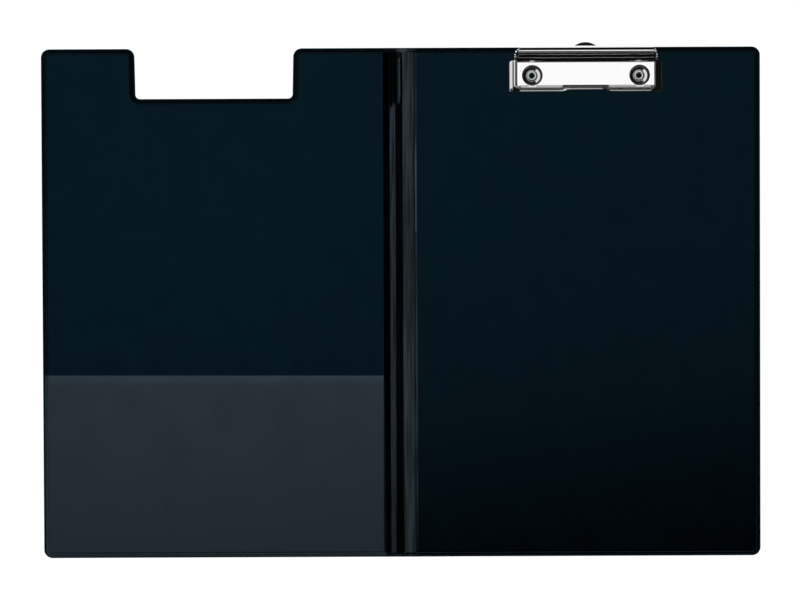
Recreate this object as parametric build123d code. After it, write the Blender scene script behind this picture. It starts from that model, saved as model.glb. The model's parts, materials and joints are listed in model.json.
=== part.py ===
from build123d import *
import math
import os

# Clip folder for A4 paper, open flat with its inside up. Millimetres. X runs from the front cover
# to the back cover, Y up the page, Z out of the page. The origin is under the middle of the box.

# Covers
COVER_HEIGHT = 334.0
FRONT_WIDTH = 227.2
BACK_WIDTH = 229.7
SPINE_WIDTH = 14.1
CORNER_RADIUS = 5.5
OUTER_FILM = 0.4
INNER_FILM = 0.3
BOARD_THICKNESS = 2.0
WELD_RIM = 3.0
BOARD_CORNER_RADIUS = 2.5
FRONT_BOARD_FROM_HINGE = 2.6
BACK_BOARD_FROM_HINGE = 4.7
HINGE_GAP = 0.6

# Spine
STRIP_WIDTH = 5.5
STRIP_THICKNESS = 1.0
STRIP_FROM_FRONT_HINGE = 0.9
LOOSE_FILM_FROM_BACK_HINGE = 4.6

# Pocket on the front cover
POCKET_HEIGHT = 119.8
POCKET_FILM = 0.2
POCKET_FROM_HINGE = 1.7

# Notch in the front cover, round the clip
NOTCH_FROM_HINGE = 113.9
NOTCH_SIDE_CLEARANCE = 1.9
NOTCH_FRONT_CLEARANCE = 3.6
NOTCH_MOUTH_RADIUS = 5.5
NOTCH_FLOOR_RADIUS = 3.0

# Clip: y is measured from the top edge of the cover, z from the face of the inner film
CLIP_FROM_HINGE = 115.2
CLIP_FROM_EDGE = 0.1
PIVOT_BEHIND_PLATE = 3.3
PIVOT_BELOW_PLATE = 2.0
ROD_DIAMETER = 2.5
ROD_HEAD_DIAMETER = 4.2
ROD_HEAD_LENGTH = 0.8
RUNNING_CLEARANCE = 0.05
SIDE_CLEARANCE = 0.3

# Clip jaw, one stamping
JAW_SHEET = 0.8
JAW_HEIGHT = 7.0
JAW_PLATE_DEPTH = 16.9
JAW_SHOULDER_HALF = 45.8
JAW_BEND_RADIUS = 1.4
JAW_SIDE_SLANT = 1.0
JAW_SIDE_REACH = 3.3
JAW_FRONT_SLANT = 0.9
JAW_FOOT_Z = 0.9
JAW_TOE_REACH = 1.3
JAW_TOE_GAP = 0.2
JAW_FLANGE_BEHIND_PLATE = 1.9
JAW_CORNER_RADIUS = 3.0
JAW_ARCH_HALF = 14.75
JAW_ARCH_RISE = 1.2
EAR_FLOOR_GAP = 0.8
EAR_INSET = 0.1
SLOPE_RUN = 7.0
SLOPE_RISE = 7.3
LIP_RUN = 3.0
LIP_RISE = 0.9
ACCESS_HOLE_DIAMETER = 13.5

# Clip base
BASE_SHEET = 1.0
BASE_FRONT_CLEARANCE = 1.4
BASE_FROM_EDGE = 1.5
BASE_EAR_WALL = 1.3

# Springs round the rod
WIRE_DIAMETER = 1.0
COIL_CLEARANCE = 0.45
COIL_GAP = 0.5
COIL_FULL_TURNS = 5
COIL_FROM_CHANNEL = 3.7
LOWER_ARM_ANGLE = 14.0
UPPER_ARM_LENGTH = 7.0
ARM_SEAT_GAP = 0.03

# Hanging tab in its channel
TAB_WIDTH = 24.0
TAB_THICKNESS = 1.4
TAB_SHOWS = 3.1
TAB_LENGTH = 26.0
TAB_LUG_LENGTH = 2.5
TAB_LUG_REACH = 1.5
TAB_TRAVEL = 12.0
TAB_HOLE_DIAMETER = 8.0
TAB_HOLE_FROM_TIP = 7.5
TAB_SIDE_CLEARANCE = 0.3
TAB_FACE_CLEARANCE = 0.1

# Rivets and washers
RIVET_SPACING = 70.0
RIVET_BEFORE_PLATE_REAR = 8.7
RIVET_SHANK_DIAMETER = 4.0
RIVET_BORE_DIAMETER = 2.7
RIVET_HEAD_DIAMETER = 7.3
RIVET_HEAD_HEIGHT = 0.9
RIVET_CLINCH_DIAMETER = 6.4
RIVET_END_GAP = 0.05
RIVET_HOLE_CLEARANCE = 0.1
WASHER_DIAMETER = 9.0
WASHER_THICKNESS = 0.4
WASHER_DEPTH = 0.5
WASHER_SIDE_CLEARANCE = 0.1

# Places that follow from the sizes above
X_LEFT = -(FRONT_WIDTH + SPINE_WIDTH + BACK_WIDTH) / 2
X_RIGHT = -X_LEFT
X_FRONT_HINGE = X_LEFT + FRONT_WIDTH
X_BACK_HINGE = X_FRONT_HINGE + SPINE_WIDTH
Y_TOP = (COVER_HEIGHT - TAB_SHOWS) / 2
Y_BOTTOM = Y_TOP - COVER_HEIGHT
Z_RIM = OUTER_FILM + INNER_FILM
Z_BOARD_TOP = OUTER_FILM + BOARD_THICKNESS
Z_FACE = Z_BOARD_TOP + INNER_FILM
LIP_END_Y = -CLIP_FROM_EDGE
SLOPE_TOP_Y = LIP_END_Y - LIP_RUN
JAW_PLATE_REAR = SLOPE_TOP_Y - SLOPE_RUN
JAW_PLATE_FRONT = JAW_PLATE_REAR - JAW_PLATE_DEPTH
JAW_FOOT_FRONT = JAW_PLATE_FRONT - JAW_FRONT_SLANT
JAW_FOOT_HALF = JAW_SHOULDER_HALF + JAW_SIDE_SLANT
JAW_FLANGE_REAR = JAW_PLATE_REAR + JAW_FLANGE_BEHIND_PLATE
SLOPE_TOP_Z = JAW_HEIGHT + SLOPE_RISE
LIP_END_Z = SLOPE_TOP_Z + LIP_RISE
PIVOT_Y = JAW_PLATE_REAR + PIVOT_BEHIND_PLATE
PIVOT_Z = JAW_HEIGHT - PIVOT_BELOW_PLATE
JAW_EAR_RADIUS = PIVOT_Z - EAR_FLOOR_GAP
X_CLIP = X_BACK_HINGE + CLIP_FROM_HINGE
X_NOTCH = X_FRONT_HINGE - NOTCH_FROM_HINGE
CLIP_HALF = JAW_FOOT_HALF + JAW_SIDE_REACH
NOTCH_HALF = CLIP_HALF + NOTCH_SIDE_CLEARANCE
NOTCH_DEPTH = JAW_TOE_REACH - JAW_FOOT_FRONT + NOTCH_FRONT_CLEARANCE
X_FRONT_BOARD = X_FRONT_HINGE - FRONT_BOARD_FROM_HINGE
X_BACK_BOARD = X_BACK_HINGE + BACK_BOARD_FROM_HINGE
X_STRIP = X_FRONT_HINGE + STRIP_FROM_FRONT_HINGE
X_LOOSE_FILM = X_BACK_HINGE - LOOSE_FILM_FROM_BACK_HINGE
CLIP_PLACE = Pos(X_CLIP, Y_TOP, Z_FACE)
RIVET_XS = (-RIVET_SPACING / 2, RIVET_SPACING / 2)
RIVET_Y = JAW_PLATE_REAR - RIVET_BEFORE_PLATE_REAR
TAB_CHANNEL_HALF = TAB_WIDTH / 2 + TAB_LUG_REACH + TAB_SIDE_CLEARANCE
TAB_CHANNEL_HEIGHT = TAB_THICKNESS + 2 * TAB_FACE_CLEARANCE
TAB_LUG_FRONT = TAB_SHOWS - TAB_LENGTH + TAB_LUG_LENGTH
TAB_SHOULDER_Y = TAB_LUG_FRONT + TAB_TRAVEL + TAB_FACE_CLEARANCE
EAR_OUTER = JAW_SHOULDER_HALF - EAR_INSET
EAR_INNER = EAR_OUTER - JAW_SHEET
BASE_HALF = EAR_INNER - SIDE_CLEARANCE
BASE_FRONT = JAW_PLATE_FRONT + BASE_FRONT_CLEARANCE
BASE_REAR = -BASE_FROM_EDGE
BASE_EAR_RADIUS = ROD_DIAMETER / 2 + RUNNING_CLEARANCE + BASE_EAR_WALL
COIL_RADIUS = (ROD_DIAMETER + WIRE_DIAMETER) / 2 + COIL_CLEARANCE
COIL_PITCH = WIRE_DIAMETER + COIL_GAP
COIL_END_HALF = TAB_CHANNEL_HALF + BASE_SHEET + COIL_FROM_CHANNEL


def block(x0, x1, y0, y1, z0, z1):
    """Box between two corners."""
    size = Box(x1 - x0, y1 - y0, z1 - z0)
    return Pos((x0 + x1) / 2, (y0 + y1) / 2, (z0 + z1) / 2) * size


def rounded_at(face, x, radius):
    """Face with the corners that lie at this x rounded."""
    corners = [v for v in face.vertices() if abs(v.X - x) < 0.01]
    return fillet(corners, radius)


def panel_outline(x0, x1, inset, free_x, radius):
    """Rectangle of the cover's height less an inset, rounded at its free edge."""
    height = COVER_HEIGHT - 2 * inset
    face = Pos((x0 + x1) / 2, (Y_TOP + Y_BOTTOM) / 2) * Rectangle(x1 - x0, height)
    return rounded_at(face, free_x, radius)


def notch_outline(inset):
    """Notch of the front cover, grown by an inset, with rounded floor corners."""
    half = NOTCH_HALF + inset
    floor = Y_TOP - NOTCH_DEPTH - inset
    mouth = Y_TOP + NOTCH_MOUTH_RADIUS
    face = Pos(X_NOTCH, (floor + mouth) / 2) * Rectangle(2 * half, mouth - floor)
    corners = [v for v in face.vertices() if abs(v.Y - floor) < 0.01]
    return fillet(corners, NOTCH_FLOOR_RADIUS + inset)


def front_outline(x1, inset, radius, mouth_radius):
    """Front cover with its notch, up to x1 on the spine side."""
    face = panel_outline(X_LEFT + inset, x1, inset, X_LEFT + inset, radius)
    face -= notch_outline(inset)
    half = NOTCH_HALF + inset
    top = Y_TOP - inset
    mouth = [v for v in face.vertices() if abs(v.Y - top) < 0.01 and abs(abs(v.X - X_NOTCH) - half) < 0.01]
    return fillet(mouth, mouth_radius)


def back_outline(x0, inset, radius):
    """Back cover from x0 on the spine side."""
    return panel_outline(x0, X_RIGHT - inset, inset, X_RIGHT - inset, radius)


def lifted(face, z0, z1):
    """Plate of this outline between two heights."""
    return Pos(0, 0, z0) * extrude(face, z1 - z0)


def rivet_bars(diameter, z0, z1):
    """Round bars on the two rivet axes, in the clip's frame."""
    bar = Cylinder(diameter / 2, z1 - z0)
    return [Pos(x, RIVET_Y, (z0 + z1) / 2) * bar for x in RIVET_XS]


def cut_for_rivets(shape, diameter, z0, z1):
    """Shape less the rivet bars between two heights of the row's frame."""
    for bar in rivet_bars(diameter, z0 - Z_FACE, z1 - Z_FACE):
        shape -= CLIP_PLACE * bar
    return shape


def make_boards():
    """Stiff boards of the two covers."""
    front = front_outline(X_FRONT_BOARD, WELD_RIM, BOARD_CORNER_RADIUS, BOARD_CORNER_RADIUS)
    back = back_outline(X_BACK_BOARD, WELD_RIM, BOARD_CORNER_RADIUS)
    back = lifted(back, OUTER_FILM, Z_BOARD_TOP)
    shank_hole = RIVET_SHANK_DIAMETER + 2 * RIVET_HOLE_CLEARANCE
    back = cut_for_rivets(back, shank_hole, 0, Z_FACE)
    washer_hole = WASHER_DIAMETER + 2 * WASHER_SIDE_CLEARANCE
    back = cut_for_rivets(back, washer_hole, 0, WASHER_DEPTH + WASHER_THICKNESS)
    return lifted(front, OUTER_FILM, Z_BOARD_TOP), back


def make_outer_films():
    """Outer film, one piece for each stiff panel, each ending short of the hinge lines."""
    front = front_outline(X_FRONT_HINGE - HINGE_GAP, 0, CORNER_RADIUS, NOTCH_MOUTH_RADIUS)
    back = lifted(back_outline(X_BACK_HINGE + HINGE_GAP, 0, CORNER_RADIUS), 0, OUTER_FILM)
    washer_hole = WASHER_DIAMETER + 2 * WASHER_SIDE_CLEARANCE
    back = cut_for_rivets(back, washer_hole, -OUTER_FILM, Z_RIM)
    spine = block(X_FRONT_HINGE + HINGE_GAP, X_BACK_HINGE - HINGE_GAP, Y_BOTTOM, Y_TOP, 0, OUTER_FILM)
    return lifted(front, 0, OUTER_FILM), spine, back


def make_front_inner_film():
    """Inner film of the front cover: a rim, a wall up the board's edge, and the face over the board."""
    grown = WELD_RIM - INNER_FILM
    wall_radius = BOARD_CORNER_RADIUS + INNER_FILM
    rim = front_outline(X_FRONT_HINGE - HINGE_GAP, 0, CORNER_RADIUS, NOTCH_MOUTH_RADIUS)
    hood = front_outline(X_FRONT_BOARD + INNER_FILM, grown, wall_radius, wall_radius)
    hollow = front_outline(X_FRONT_BOARD, WELD_RIM, BOARD_CORNER_RADIUS, BOARD_CORNER_RADIUS)
    film = lifted(rim, OUTER_FILM, Z_RIM) + lifted(hood, OUTER_FILM, Z_FACE)
    return film - lifted(hollow, 0, Z_BOARD_TOP)


def make_back_inner_film():
    """Inner film of the back cover, from the spine-side edge of its board."""
    grown = WELD_RIM - INNER_FILM
    wall_radius = BOARD_CORNER_RADIUS + INNER_FILM
    rim = back_outline(X_BACK_BOARD, 0, CORNER_RADIUS)
    hood = back_outline(X_BACK_BOARD, grown, wall_radius)
    hollow = back_outline(X_BACK_BOARD, WELD_RIM, BOARD_CORNER_RADIUS)
    film = lifted(rim, OUTER_FILM, Z_RIM) + lifted(hood, OUTER_FILM, Z_FACE)
    film -= lifted(hollow, 0, Z_BOARD_TOP)
    return cut_for_rivets(film, RIVET_SHANK_DIAMETER + 2 * RIVET_HOLE_CLEARANCE, 0, 2 * Z_FACE)


def make_spine_pieces():
    """Spine strip, and the inner film welded down on both sides of it."""
    x1 = X_STRIP + STRIP_WIDTH
    y0 = Y_BOTTOM + WELD_RIM
    y1 = Y_TOP - WELD_RIM
    z1 = OUTER_FILM + STRIP_THICKNESS
    strip = block(X_STRIP, x1, y0, y1, OUTER_FILM, z1)
    t = INNER_FILM
    film = block(X_FRONT_HINGE + HINGE_GAP, X_LOOSE_FILM, Y_BOTTOM, Y_TOP, OUTER_FILM, Z_RIM)
    film += block(X_STRIP - t, x1 + t, y0 - t, y1 + t, OUTER_FILM, z1 + t)
    return strip, film - strip


def make_front_crease():
    """Both films welded together along the front hinge line."""
    return block(X_FRONT_HINGE - HINGE_GAP, X_FRONT_HINGE + HINGE_GAP, Y_BOTTOM, Y_TOP, 0, Z_RIM)


def wedge(x0, x1, z_foot, z_top, y0, y1):
    """Prism along Y with a face that rises from x0 at z_foot to x1 at z_top."""
    points = [(x0, 0), (x1, 0), (x1, z_top), (x0, z_foot)]
    face = Plane.XZ.offset(-y1) * make_face(Polyline(*points, close=True))
    return extrude(face, y1 - y0)


def make_back_crease():
    """Loose film that rises from the spine to the back board, closed at both ends by the weld."""
    y0 = Y_BOTTOM + WELD_RIM
    y1 = Y_TOP - WELD_RIM
    t = INNER_FILM
    outside = wedge(X_LOOSE_FILM, X_BACK_BOARD, Z_RIM, Z_FACE, y0 - t, y1 + t)
    hollow = wedge(X_LOOSE_FILM, X_BACK_BOARD, Z_RIM - t, Z_FACE - t, y0, y1)
    below = block(X_LOOSE_FILM, X_BACK_BOARD, Y_BOTTOM, Y_TOP, -Z_FACE, OUTER_FILM)
    film = block(X_LOOSE_FILM, X_BACK_BOARD, Y_BOTTOM, Y_TOP, OUTER_FILM, Z_RIM) + outside
    film = film - hollow - below
    return film + block(X_BACK_HINGE - HINGE_GAP, X_BACK_HINGE + HINGE_GAP, Y_BOTTOM, Y_TOP, 0, OUTER_FILM)


def make_pocket():
    """Pocket film over the foot of the front cover, welded to the rim on three sides."""
    y_mouth = Y_BOTTOM + POCKET_HEIGHT
    t = POCKET_FILM
    grown = WELD_RIM - INNER_FILM
    wall_radius = BOARD_CORNER_RADIUS + INNER_FILM
    rim = panel_outline(X_LEFT, X_FRONT_HINGE - POCKET_FROM_HINGE, 0, X_LEFT, CORNER_RADIUS)
    hood_left = X_LEFT + grown - t
    hood = panel_outline(hood_left, X_FRONT_BOARD + INNER_FILM + t, grown - t, hood_left, wall_radius + t)
    hollow = panel_outline(X_LEFT + grown, X_FRONT_BOARD + INNER_FILM, grown, X_LEFT + grown, wall_radius)
    film = lifted(rim, Z_RIM, Z_RIM + t) + lifted(hood, Z_RIM, Z_FACE + t)
    film -= lifted(hollow, 0, Z_FACE)
    return film - block(X_LEFT, X_RIGHT, y_mouth, Y_TOP, 0, 2 * Z_FACE)


def prism_x(points, x0, x1):
    """Prism along X of a closed outline given as (y, z) points."""
    face = Plane.YZ.offset(x0) * make_face(Polyline(*points, close=True))
    return extrude(face, x1 - x0)


def unit(y, z):
    """Direction of length one."""
    length = math.hypot(y, z)
    return y / length, z / length


def thickened(points, thickness):
    """Outline of a folded sheet whose outer face runs through these (y, z) points."""
    ways = [unit(b[0] - a[0], b[1] - a[1]) for a, b in zip(points, points[1:])]
    arriving = ways[:1] + ways
    leaving = ways + ways[-1:]
    inner = []
    for (y, z), (ay, az), (ly, lz) in zip(points, arriving, leaving):
        stretch = thickness / (1 + ay * ly + az * lz)
        inner.append((y + stretch * (az + lz), z - stretch * (ay + ly)))
    return points + inner[::-1]


def jaw_section(half, front, z, inset):
    """Rounded rectangle of the jaw's tray at one height, running past its open rear."""
    rear = JAW_EAR_RADIUS
    width = 2 * (half - inset)
    depth = rear - front - inset
    return Pos(0, (rear + front + inset) / 2, z) * RectangleRounded(width, depth, JAW_CORNER_RADIUS - inset)


def jaw_block(inset):
    """Solid of the jaw's tray, drawn in by an inset, with its upper edges bent round."""
    top = JAW_HEIGHT - inset
    foot = jaw_section(JAW_FOOT_HALF, JAW_FOOT_FRONT, JAW_FOOT_Z, inset)
    shoulder = jaw_section(JAW_SHOULDER_HALF, JAW_PLATE_FRONT, top, inset)
    solid = loft([foot, shoulder])
    edges = [edge for edge in solid.edges() if abs(edge.center().Z - top) < 0.01]
    return fillet(edges, JAW_BEND_RADIUS - inset)


def make_jaw_tray():
    """Plate of the jaw with its slanted front and side walls and the foot turned outward."""
    shell = jaw_block(0) - jaw_block(JAW_SHEET)
    foot = jaw_section(CLIP_HALF, JAW_FOOT_FRONT - JAW_TOE_REACH, JAW_TOE_GAP, 0)
    hollow = jaw_section(JAW_FOOT_HALF, JAW_FOOT_FRONT, JAW_TOE_GAP, JAW_SHEET)
    flange = extrude(foot - hollow, JAW_FOOT_Z - JAW_TOE_GAP)
    rear = block(-CLIP_HALF, CLIP_HALF, JAW_FLANGE_REAR, 2 * JAW_EAR_RADIUS, 0, 2 * JAW_HEIGHT)
    under_slope = block(-EAR_OUTER, EAR_OUTER, JAW_PLATE_REAR, JAW_EAR_RADIUS, 0, 2 * JAW_HEIGHT)
    return shell + flange - rear - under_slope


def make_jaw():
    """Clip jaw: tray, press slope with its lip, two ears, access holes and the arch in the front lip."""
    slope = [
        (JAW_PLATE_REAR - JAW_SHEET, JAW_HEIGHT),
        (JAW_PLATE_REAR, JAW_HEIGHT),
        (SLOPE_TOP_Y, SLOPE_TOP_Z),
        (LIP_END_Y, LIP_END_Z),
    ]
    lever = prism_x(thickened(slope, JAW_SHEET), -EAR_OUTER, EAR_OUTER)
    cheek = [
        (JAW_PLATE_REAR - JAW_EAR_RADIUS, JAW_HEIGHT - JAW_SHEET),
        (JAW_PLATE_REAR, JAW_HEIGHT),
        (SLOPE_TOP_Y, SLOPE_TOP_Z - JAW_SHEET),
        (PIVOT_Y + JAW_EAR_RADIUS, PIVOT_Z),
        (PIVOT_Y, PIVOT_Z - JAW_EAR_RADIUS),
        (PIVOT_Y - JAW_EAR_RADIUS, PIVOT_Z),
    ]
    jaw = make_jaw_tray() + lever
    for side in (-1, 1):
        x0, x1 = sorted((side * EAR_INNER, side * EAR_OUTER))
        ear = prism_x(cheek, x0, x1)
        ear += Pos((x0 + x1) / 2, PIVOT_Y, PIVOT_Z) * Rot(0, 90, 0) * Cylinder(JAW_EAR_RADIUS, JAW_SHEET)
        jaw += ear
        head_room = ROD_HEAD_DIAMETER / 2 + SIDE_CLEARANCE
        reach = CLIP_HALF - EAR_OUTER
        room = Cylinder(head_room, reach)
        jaw -= Pos(side * (EAR_OUTER + reach / 2), PIVOT_Y, PIVOT_Z) * Rot(0, 90, 0) * room
    bore = Cylinder(ROD_DIAMETER / 2 + RUNNING_CLEARANCE, 2 * CLIP_HALF)
    jaw -= Pos(0, PIVOT_Y, PIVOT_Z) * Rot(0, 90, 0) * bore
    for bar in rivet_bars(ACCESS_HOLE_DIAMETER, JAW_FOOT_Z, 2 * JAW_HEIGHT):
        jaw -= bar
    arch_top = JAW_FOOT_Z + JAW_ARCH_RISE
    slant = JAW_ARCH_RISE
    outline = [
        (-JAW_ARCH_HALF, 0),
        (JAW_ARCH_HALF, 0),
        (JAW_ARCH_HALF - slant, arch_top),
        (slant - JAW_ARCH_HALF, arch_top),
    ]
    depth = JAW_TOE_REACH + JAW_SHEET
    arch_face = Plane.XZ.offset(-JAW_FOOT_FRONT - depth) * make_face(Polyline(*outline, close=True))
    return jaw - extrude(arch_face, 2 * depth)


def make_base():
    """Clip base: plate with a raised channel for the tab and two ears for the rod."""
    top = TAB_CHANNEL_HEIGHT + BASE_SHEET
    outer_half = TAB_CHANNEL_HALF + BASE_SHEET
    base = block(-BASE_HALF, BASE_HALF, BASE_FRONT, BASE_REAR, 0, BASE_SHEET)
    base += block(-outer_half, outer_half, BASE_FRONT, BASE_REAR, 0, top)
    base -= block(-TAB_CHANNEL_HALF, TAB_CHANNEL_HALF, BASE_FRONT, TAB_SHOULDER_Y, 0, TAB_CHANNEL_HEIGHT)
    neck = TAB_WIDTH / 2 + TAB_SIDE_CLEARANCE
    base -= block(-neck, neck, BASE_FRONT, BASE_REAR, 0, TAB_CHANNEL_HEIGHT)
    for side in (-1, 1):
        x0, x1 = sorted((side * (BASE_HALF - BASE_SHEET), side * BASE_HALF))
        base += block(x0, x1, PIVOT_Y - BASE_EAR_RADIUS, PIVOT_Y + BASE_EAR_RADIUS, 0, PIVOT_Z)
        ear = Cylinder(BASE_EAR_RADIUS, BASE_SHEET)
        base += Pos((x0 + x1) / 2, PIVOT_Y, PIVOT_Z) * Rot(0, 90, 0) * ear
    bore = Cylinder(ROD_DIAMETER / 2 + RUNNING_CLEARANCE, 2 * CLIP_HALF)
    base -= Pos(0, PIVOT_Y, PIVOT_Z) * Rot(0, 90, 0) * bore
    for bar in rivet_bars(RIVET_SHANK_DIAMETER + 2 * RIVET_HOLE_CLEARANCE, 0, 2 * BASE_SHEET):
        base -= bar
    return base


def make_rod():
    """Pivot rod with a peened head at each end."""
    shank_half = EAR_OUTER + SIDE_CLEARANCE
    rod = Cylinder(ROD_DIAMETER / 2, 2 * shank_half)
    for side in (-1, 1):
        head = Cylinder(ROD_HEAD_DIAMETER / 2, ROD_HEAD_LENGTH)
        rod += Pos(0, 0, side * (shank_half + ROD_HEAD_LENGTH / 2)) * head
    return Pos(0, PIVOT_Y, PIVOT_Z) * Rot(0, 90, 0) * rod


def biarc(start, start_way, end, end_way):
    """Two arcs that join two points and follow the direction given at each."""
    chord = end - start
    ways = start_way + end_way
    lean = 2 * (1 - start_way.dot(end_way))
    along = chord.dot(ways)
    reach = (math.sqrt(along * along + lean * chord.dot(chord)) - along) / lean
    middle = (start + start_way * reach + end - end_way * reach) * 0.5
    first = TangentArc(start, middle, tangent=start_way)
    return [first, TangentArc(middle, end, tangent=first % 1)]


def spring_path():
    """Centre line of the right spring: lower arm, coil and upper arm, from outside to inside."""
    slope = unit(SLOPE_RUN, SLOPE_RISE)
    to_slope = PIVOT_BEHIND_PLATE * slope[1] + PIVOT_BELOW_PLATE * slope[0] - JAW_SHEET
    slack = to_slope - COIL_RADIUS - WIRE_DIAMETER / 2 - ARM_SEAT_GAP
    lean = math.asin(slack / UPPER_ARM_LENGTH)
    first_angle = math.radians(270 - LOWER_ARM_ANGLE)
    last_angle = math.atan2(slope[0], -slope[1]) + lean - 2 * math.pi * COIL_FULL_TURNS
    sweep_angle = first_angle - last_angle
    rise = COIL_PITCH / (2 * math.pi)
    drop = PIVOT_Z + COIL_RADIUS * math.sin(first_angle) - BASE_SHEET - WIRE_DIAMETER / 2 - ARM_SEAT_GAP
    lower_arm = drop / math.sin(math.radians(LOWER_ARM_ANGLE))

    def at(turned):
        angle = first_angle - turned
        x = COIL_END_HALF + rise * (sweep_angle - turned)
        return Vector(x, PIVOT_Y + COIL_RADIUS * math.cos(angle), PIVOT_Z + COIL_RADIUS * math.sin(angle))

    def way(turned):
        angle = first_angle - turned
        return Vector(-rise, COIL_RADIUS * math.sin(angle), -COIL_RADIUS * math.cos(angle)).normalized()

    quarters = math.ceil(sweep_angle / (math.pi / 2))
    step = sweep_angle / quarters
    parts = [Line(at(0) - way(0) * lower_arm, at(0))]
    for i in range(quarters):
        parts += biarc(at(i * step), way(i * step), at((i + 1) * step), way((i + 1) * step))
    end = at(sweep_angle)
    parts.append(Line(end, end + way(sweep_angle) * UPPER_ARM_LENGTH))
    return parts


def least_gap(parts):
    """Least distance between the wire's surface and itself, away from where it is joined."""
    sample = WIRE_DIAMETER / 4
    points = []
    lengths = []
    done = 0.0
    for part in parts:
        steps = math.ceil(part.length / sample)
        for i in range(steps):
            points.append(part @ (i / steps))
            lengths.append(done + part.length * i / steps)
        done += part.length
    nearest = done
    away = math.pi * COIL_RADIUS
    for i, p in enumerate(points):
        for j in range(i + 1, len(points)):
            if lengths[j] - lengths[i] > away:
                nearest = min(nearest, (points[j] - p).length)
    return nearest - WIRE_DIAMETER


def make_springs():
    """Two torsion springs, mirror images, each one unbroken wire."""
    parts = spring_path()
    print("spring: least gap of the wire to itself", round(least_gap(parts), 3), "mm")
    path = Wire(parts)
    section = Plane(origin=path @ 0, z_dir=path % 0) * Circle(WIRE_DIAMETER / 2)
    right = sweep(section, path)
    volume = math.pi * WIRE_DIAMETER**2 / 4 * path.length
    print("spring: volume", round(right.volume, 3), "mm3, section times length", round(volume, 3), "mm3")
    return mirror(right, Plane.YZ), right


def make_tab():
    """Hanging tab: a plastic tongue with a round end, a hanging hole and two stop lugs."""
    half = TAB_WIDTH / 2
    z0 = TAB_FACE_CLEARANCE
    z1 = z0 + TAB_THICKNESS
    heel = TAB_SHOWS - TAB_LENGTH
    tab = block(-half, half, heel, TAB_SHOWS - half, z0, z1)
    tab += Pos(0, TAB_SHOWS - half, (z0 + z1) / 2) * Cylinder(half, TAB_THICKNESS)
    tab += block(-half - TAB_LUG_REACH, half + TAB_LUG_REACH, heel, TAB_LUG_FRONT, z0, z1)
    hole = Cylinder(TAB_HOLE_DIAMETER / 2, 2 * TAB_THICKNESS)
    return tab - Pos(0, TAB_SHOWS - TAB_HOLE_FROM_TIP, z1 / 2) * hole


def make_rivets():
    """Two tubular rivets: head on the base, shank through the cover, clinched over the washer."""
    clinch_top = WASHER_DEPTH - Z_FACE
    head_top = BASE_SHEET + RIVET_HEAD_HEIGHT
    shanks = rivet_bars(RIVET_SHANK_DIAMETER, clinch_top, BASE_SHEET)
    heads = rivet_bars(RIVET_HEAD_DIAMETER, BASE_SHEET, head_top)
    clinches = rivet_bars(RIVET_CLINCH_DIAMETER, RIVET_END_GAP - Z_FACE, clinch_top)
    bores = rivet_bars(RIVET_BORE_DIAMETER, -2 * Z_FACE, 2 * head_top)
    rivets = []
    for shank, head, clinch, bore in zip(shanks, heads, clinches, bores):
        rim = head.edges().filter_by(GeomType.CIRCLE).sort_by(Axis.Z)[-1]
        rivets.append(shank + fillet(rim, RIVET_HEAD_HEIGHT / 2) + clinch - bore)
    return rivets


def make_washers():
    """Two washers let into the outside of the back cover."""
    z0 = WASHER_DEPTH - Z_FACE
    z1 = z0 + WASHER_THICKNESS
    discs = rivet_bars(WASHER_DIAMETER, z0, z1)
    holes = rivet_bars(RIVET_SHANK_DIAMETER + 2 * RIVET_HOLE_CLEARANCE, z0, z1)
    return [disc - hole for disc, hole in zip(discs, holes)]


def main():
    front_board, back_board = make_boards()
    front_outer, spine_outer, back_outer = make_outer_films()
    spine_strip, spine_inner = make_spine_pieces()
    left_spring, right_spring = make_springs()
    nodes = {
        "front_board": front_board,
        "back_board": back_board,
        "front_outer_film": front_outer,
        "spine_outer_film": spine_outer,
        "back_outer_film": back_outer,
        "front_inner_film": make_front_inner_film(),
        "spine_inner_film": spine_inner,
        "back_inner_film": make_back_inner_film(),
        "front_crease_film": make_front_crease(),
        "back_crease_film": make_back_crease(),
        "spine_strip": spine_strip,
        "front_pocket": make_pocket(),
        "clip_base": CLIP_PLACE * make_base(),
        "clip_jaw": CLIP_PLACE * make_jaw(),
        "pivot_rod": CLIP_PLACE * make_rod(),
        "left_spring": CLIP_PLACE * left_spring,
        "right_spring": CLIP_PLACE * right_spring,
        "hanging_tab": CLIP_PLACE * make_tab(),
        "rivets": Compound([CLIP_PLACE * rivet for rivet in make_rivets()]),
        "rivet_washers": Compound([CLIP_PLACE * washer for washer in make_washers()]),
    }
    os.makedirs("parts", exist_ok=True)
    for name, shape in nodes.items():
        export_step(shape, f"parts/{name}.step")


main()
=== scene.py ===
import json
import math

import bmesh
import bpy
import numpy as np
from bpy.props import FloatProperty, FloatVectorProperty, IntProperty, PointerProperty
from mathutils import Matrix, Vector


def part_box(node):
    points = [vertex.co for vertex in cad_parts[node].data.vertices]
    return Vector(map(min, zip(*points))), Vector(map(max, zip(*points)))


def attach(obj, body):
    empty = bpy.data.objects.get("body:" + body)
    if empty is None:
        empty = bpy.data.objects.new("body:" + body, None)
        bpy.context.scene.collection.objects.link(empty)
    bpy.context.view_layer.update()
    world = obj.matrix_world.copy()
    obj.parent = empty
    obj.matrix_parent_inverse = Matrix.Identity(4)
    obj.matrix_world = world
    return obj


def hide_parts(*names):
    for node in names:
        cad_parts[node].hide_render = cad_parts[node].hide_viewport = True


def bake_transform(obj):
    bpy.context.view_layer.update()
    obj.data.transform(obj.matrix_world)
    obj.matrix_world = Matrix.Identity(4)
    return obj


bl_info = {
    "name": "Clip Folder",
    "version": (1, 0, 0),
    "blender": (4, 5, 0),
    "location": "3D View > Sidebar > Clip Folder",
    "description": "Film skins, creases, clip and studio of an open clip folder",
    "category": "Add Mesh",
}

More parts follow.
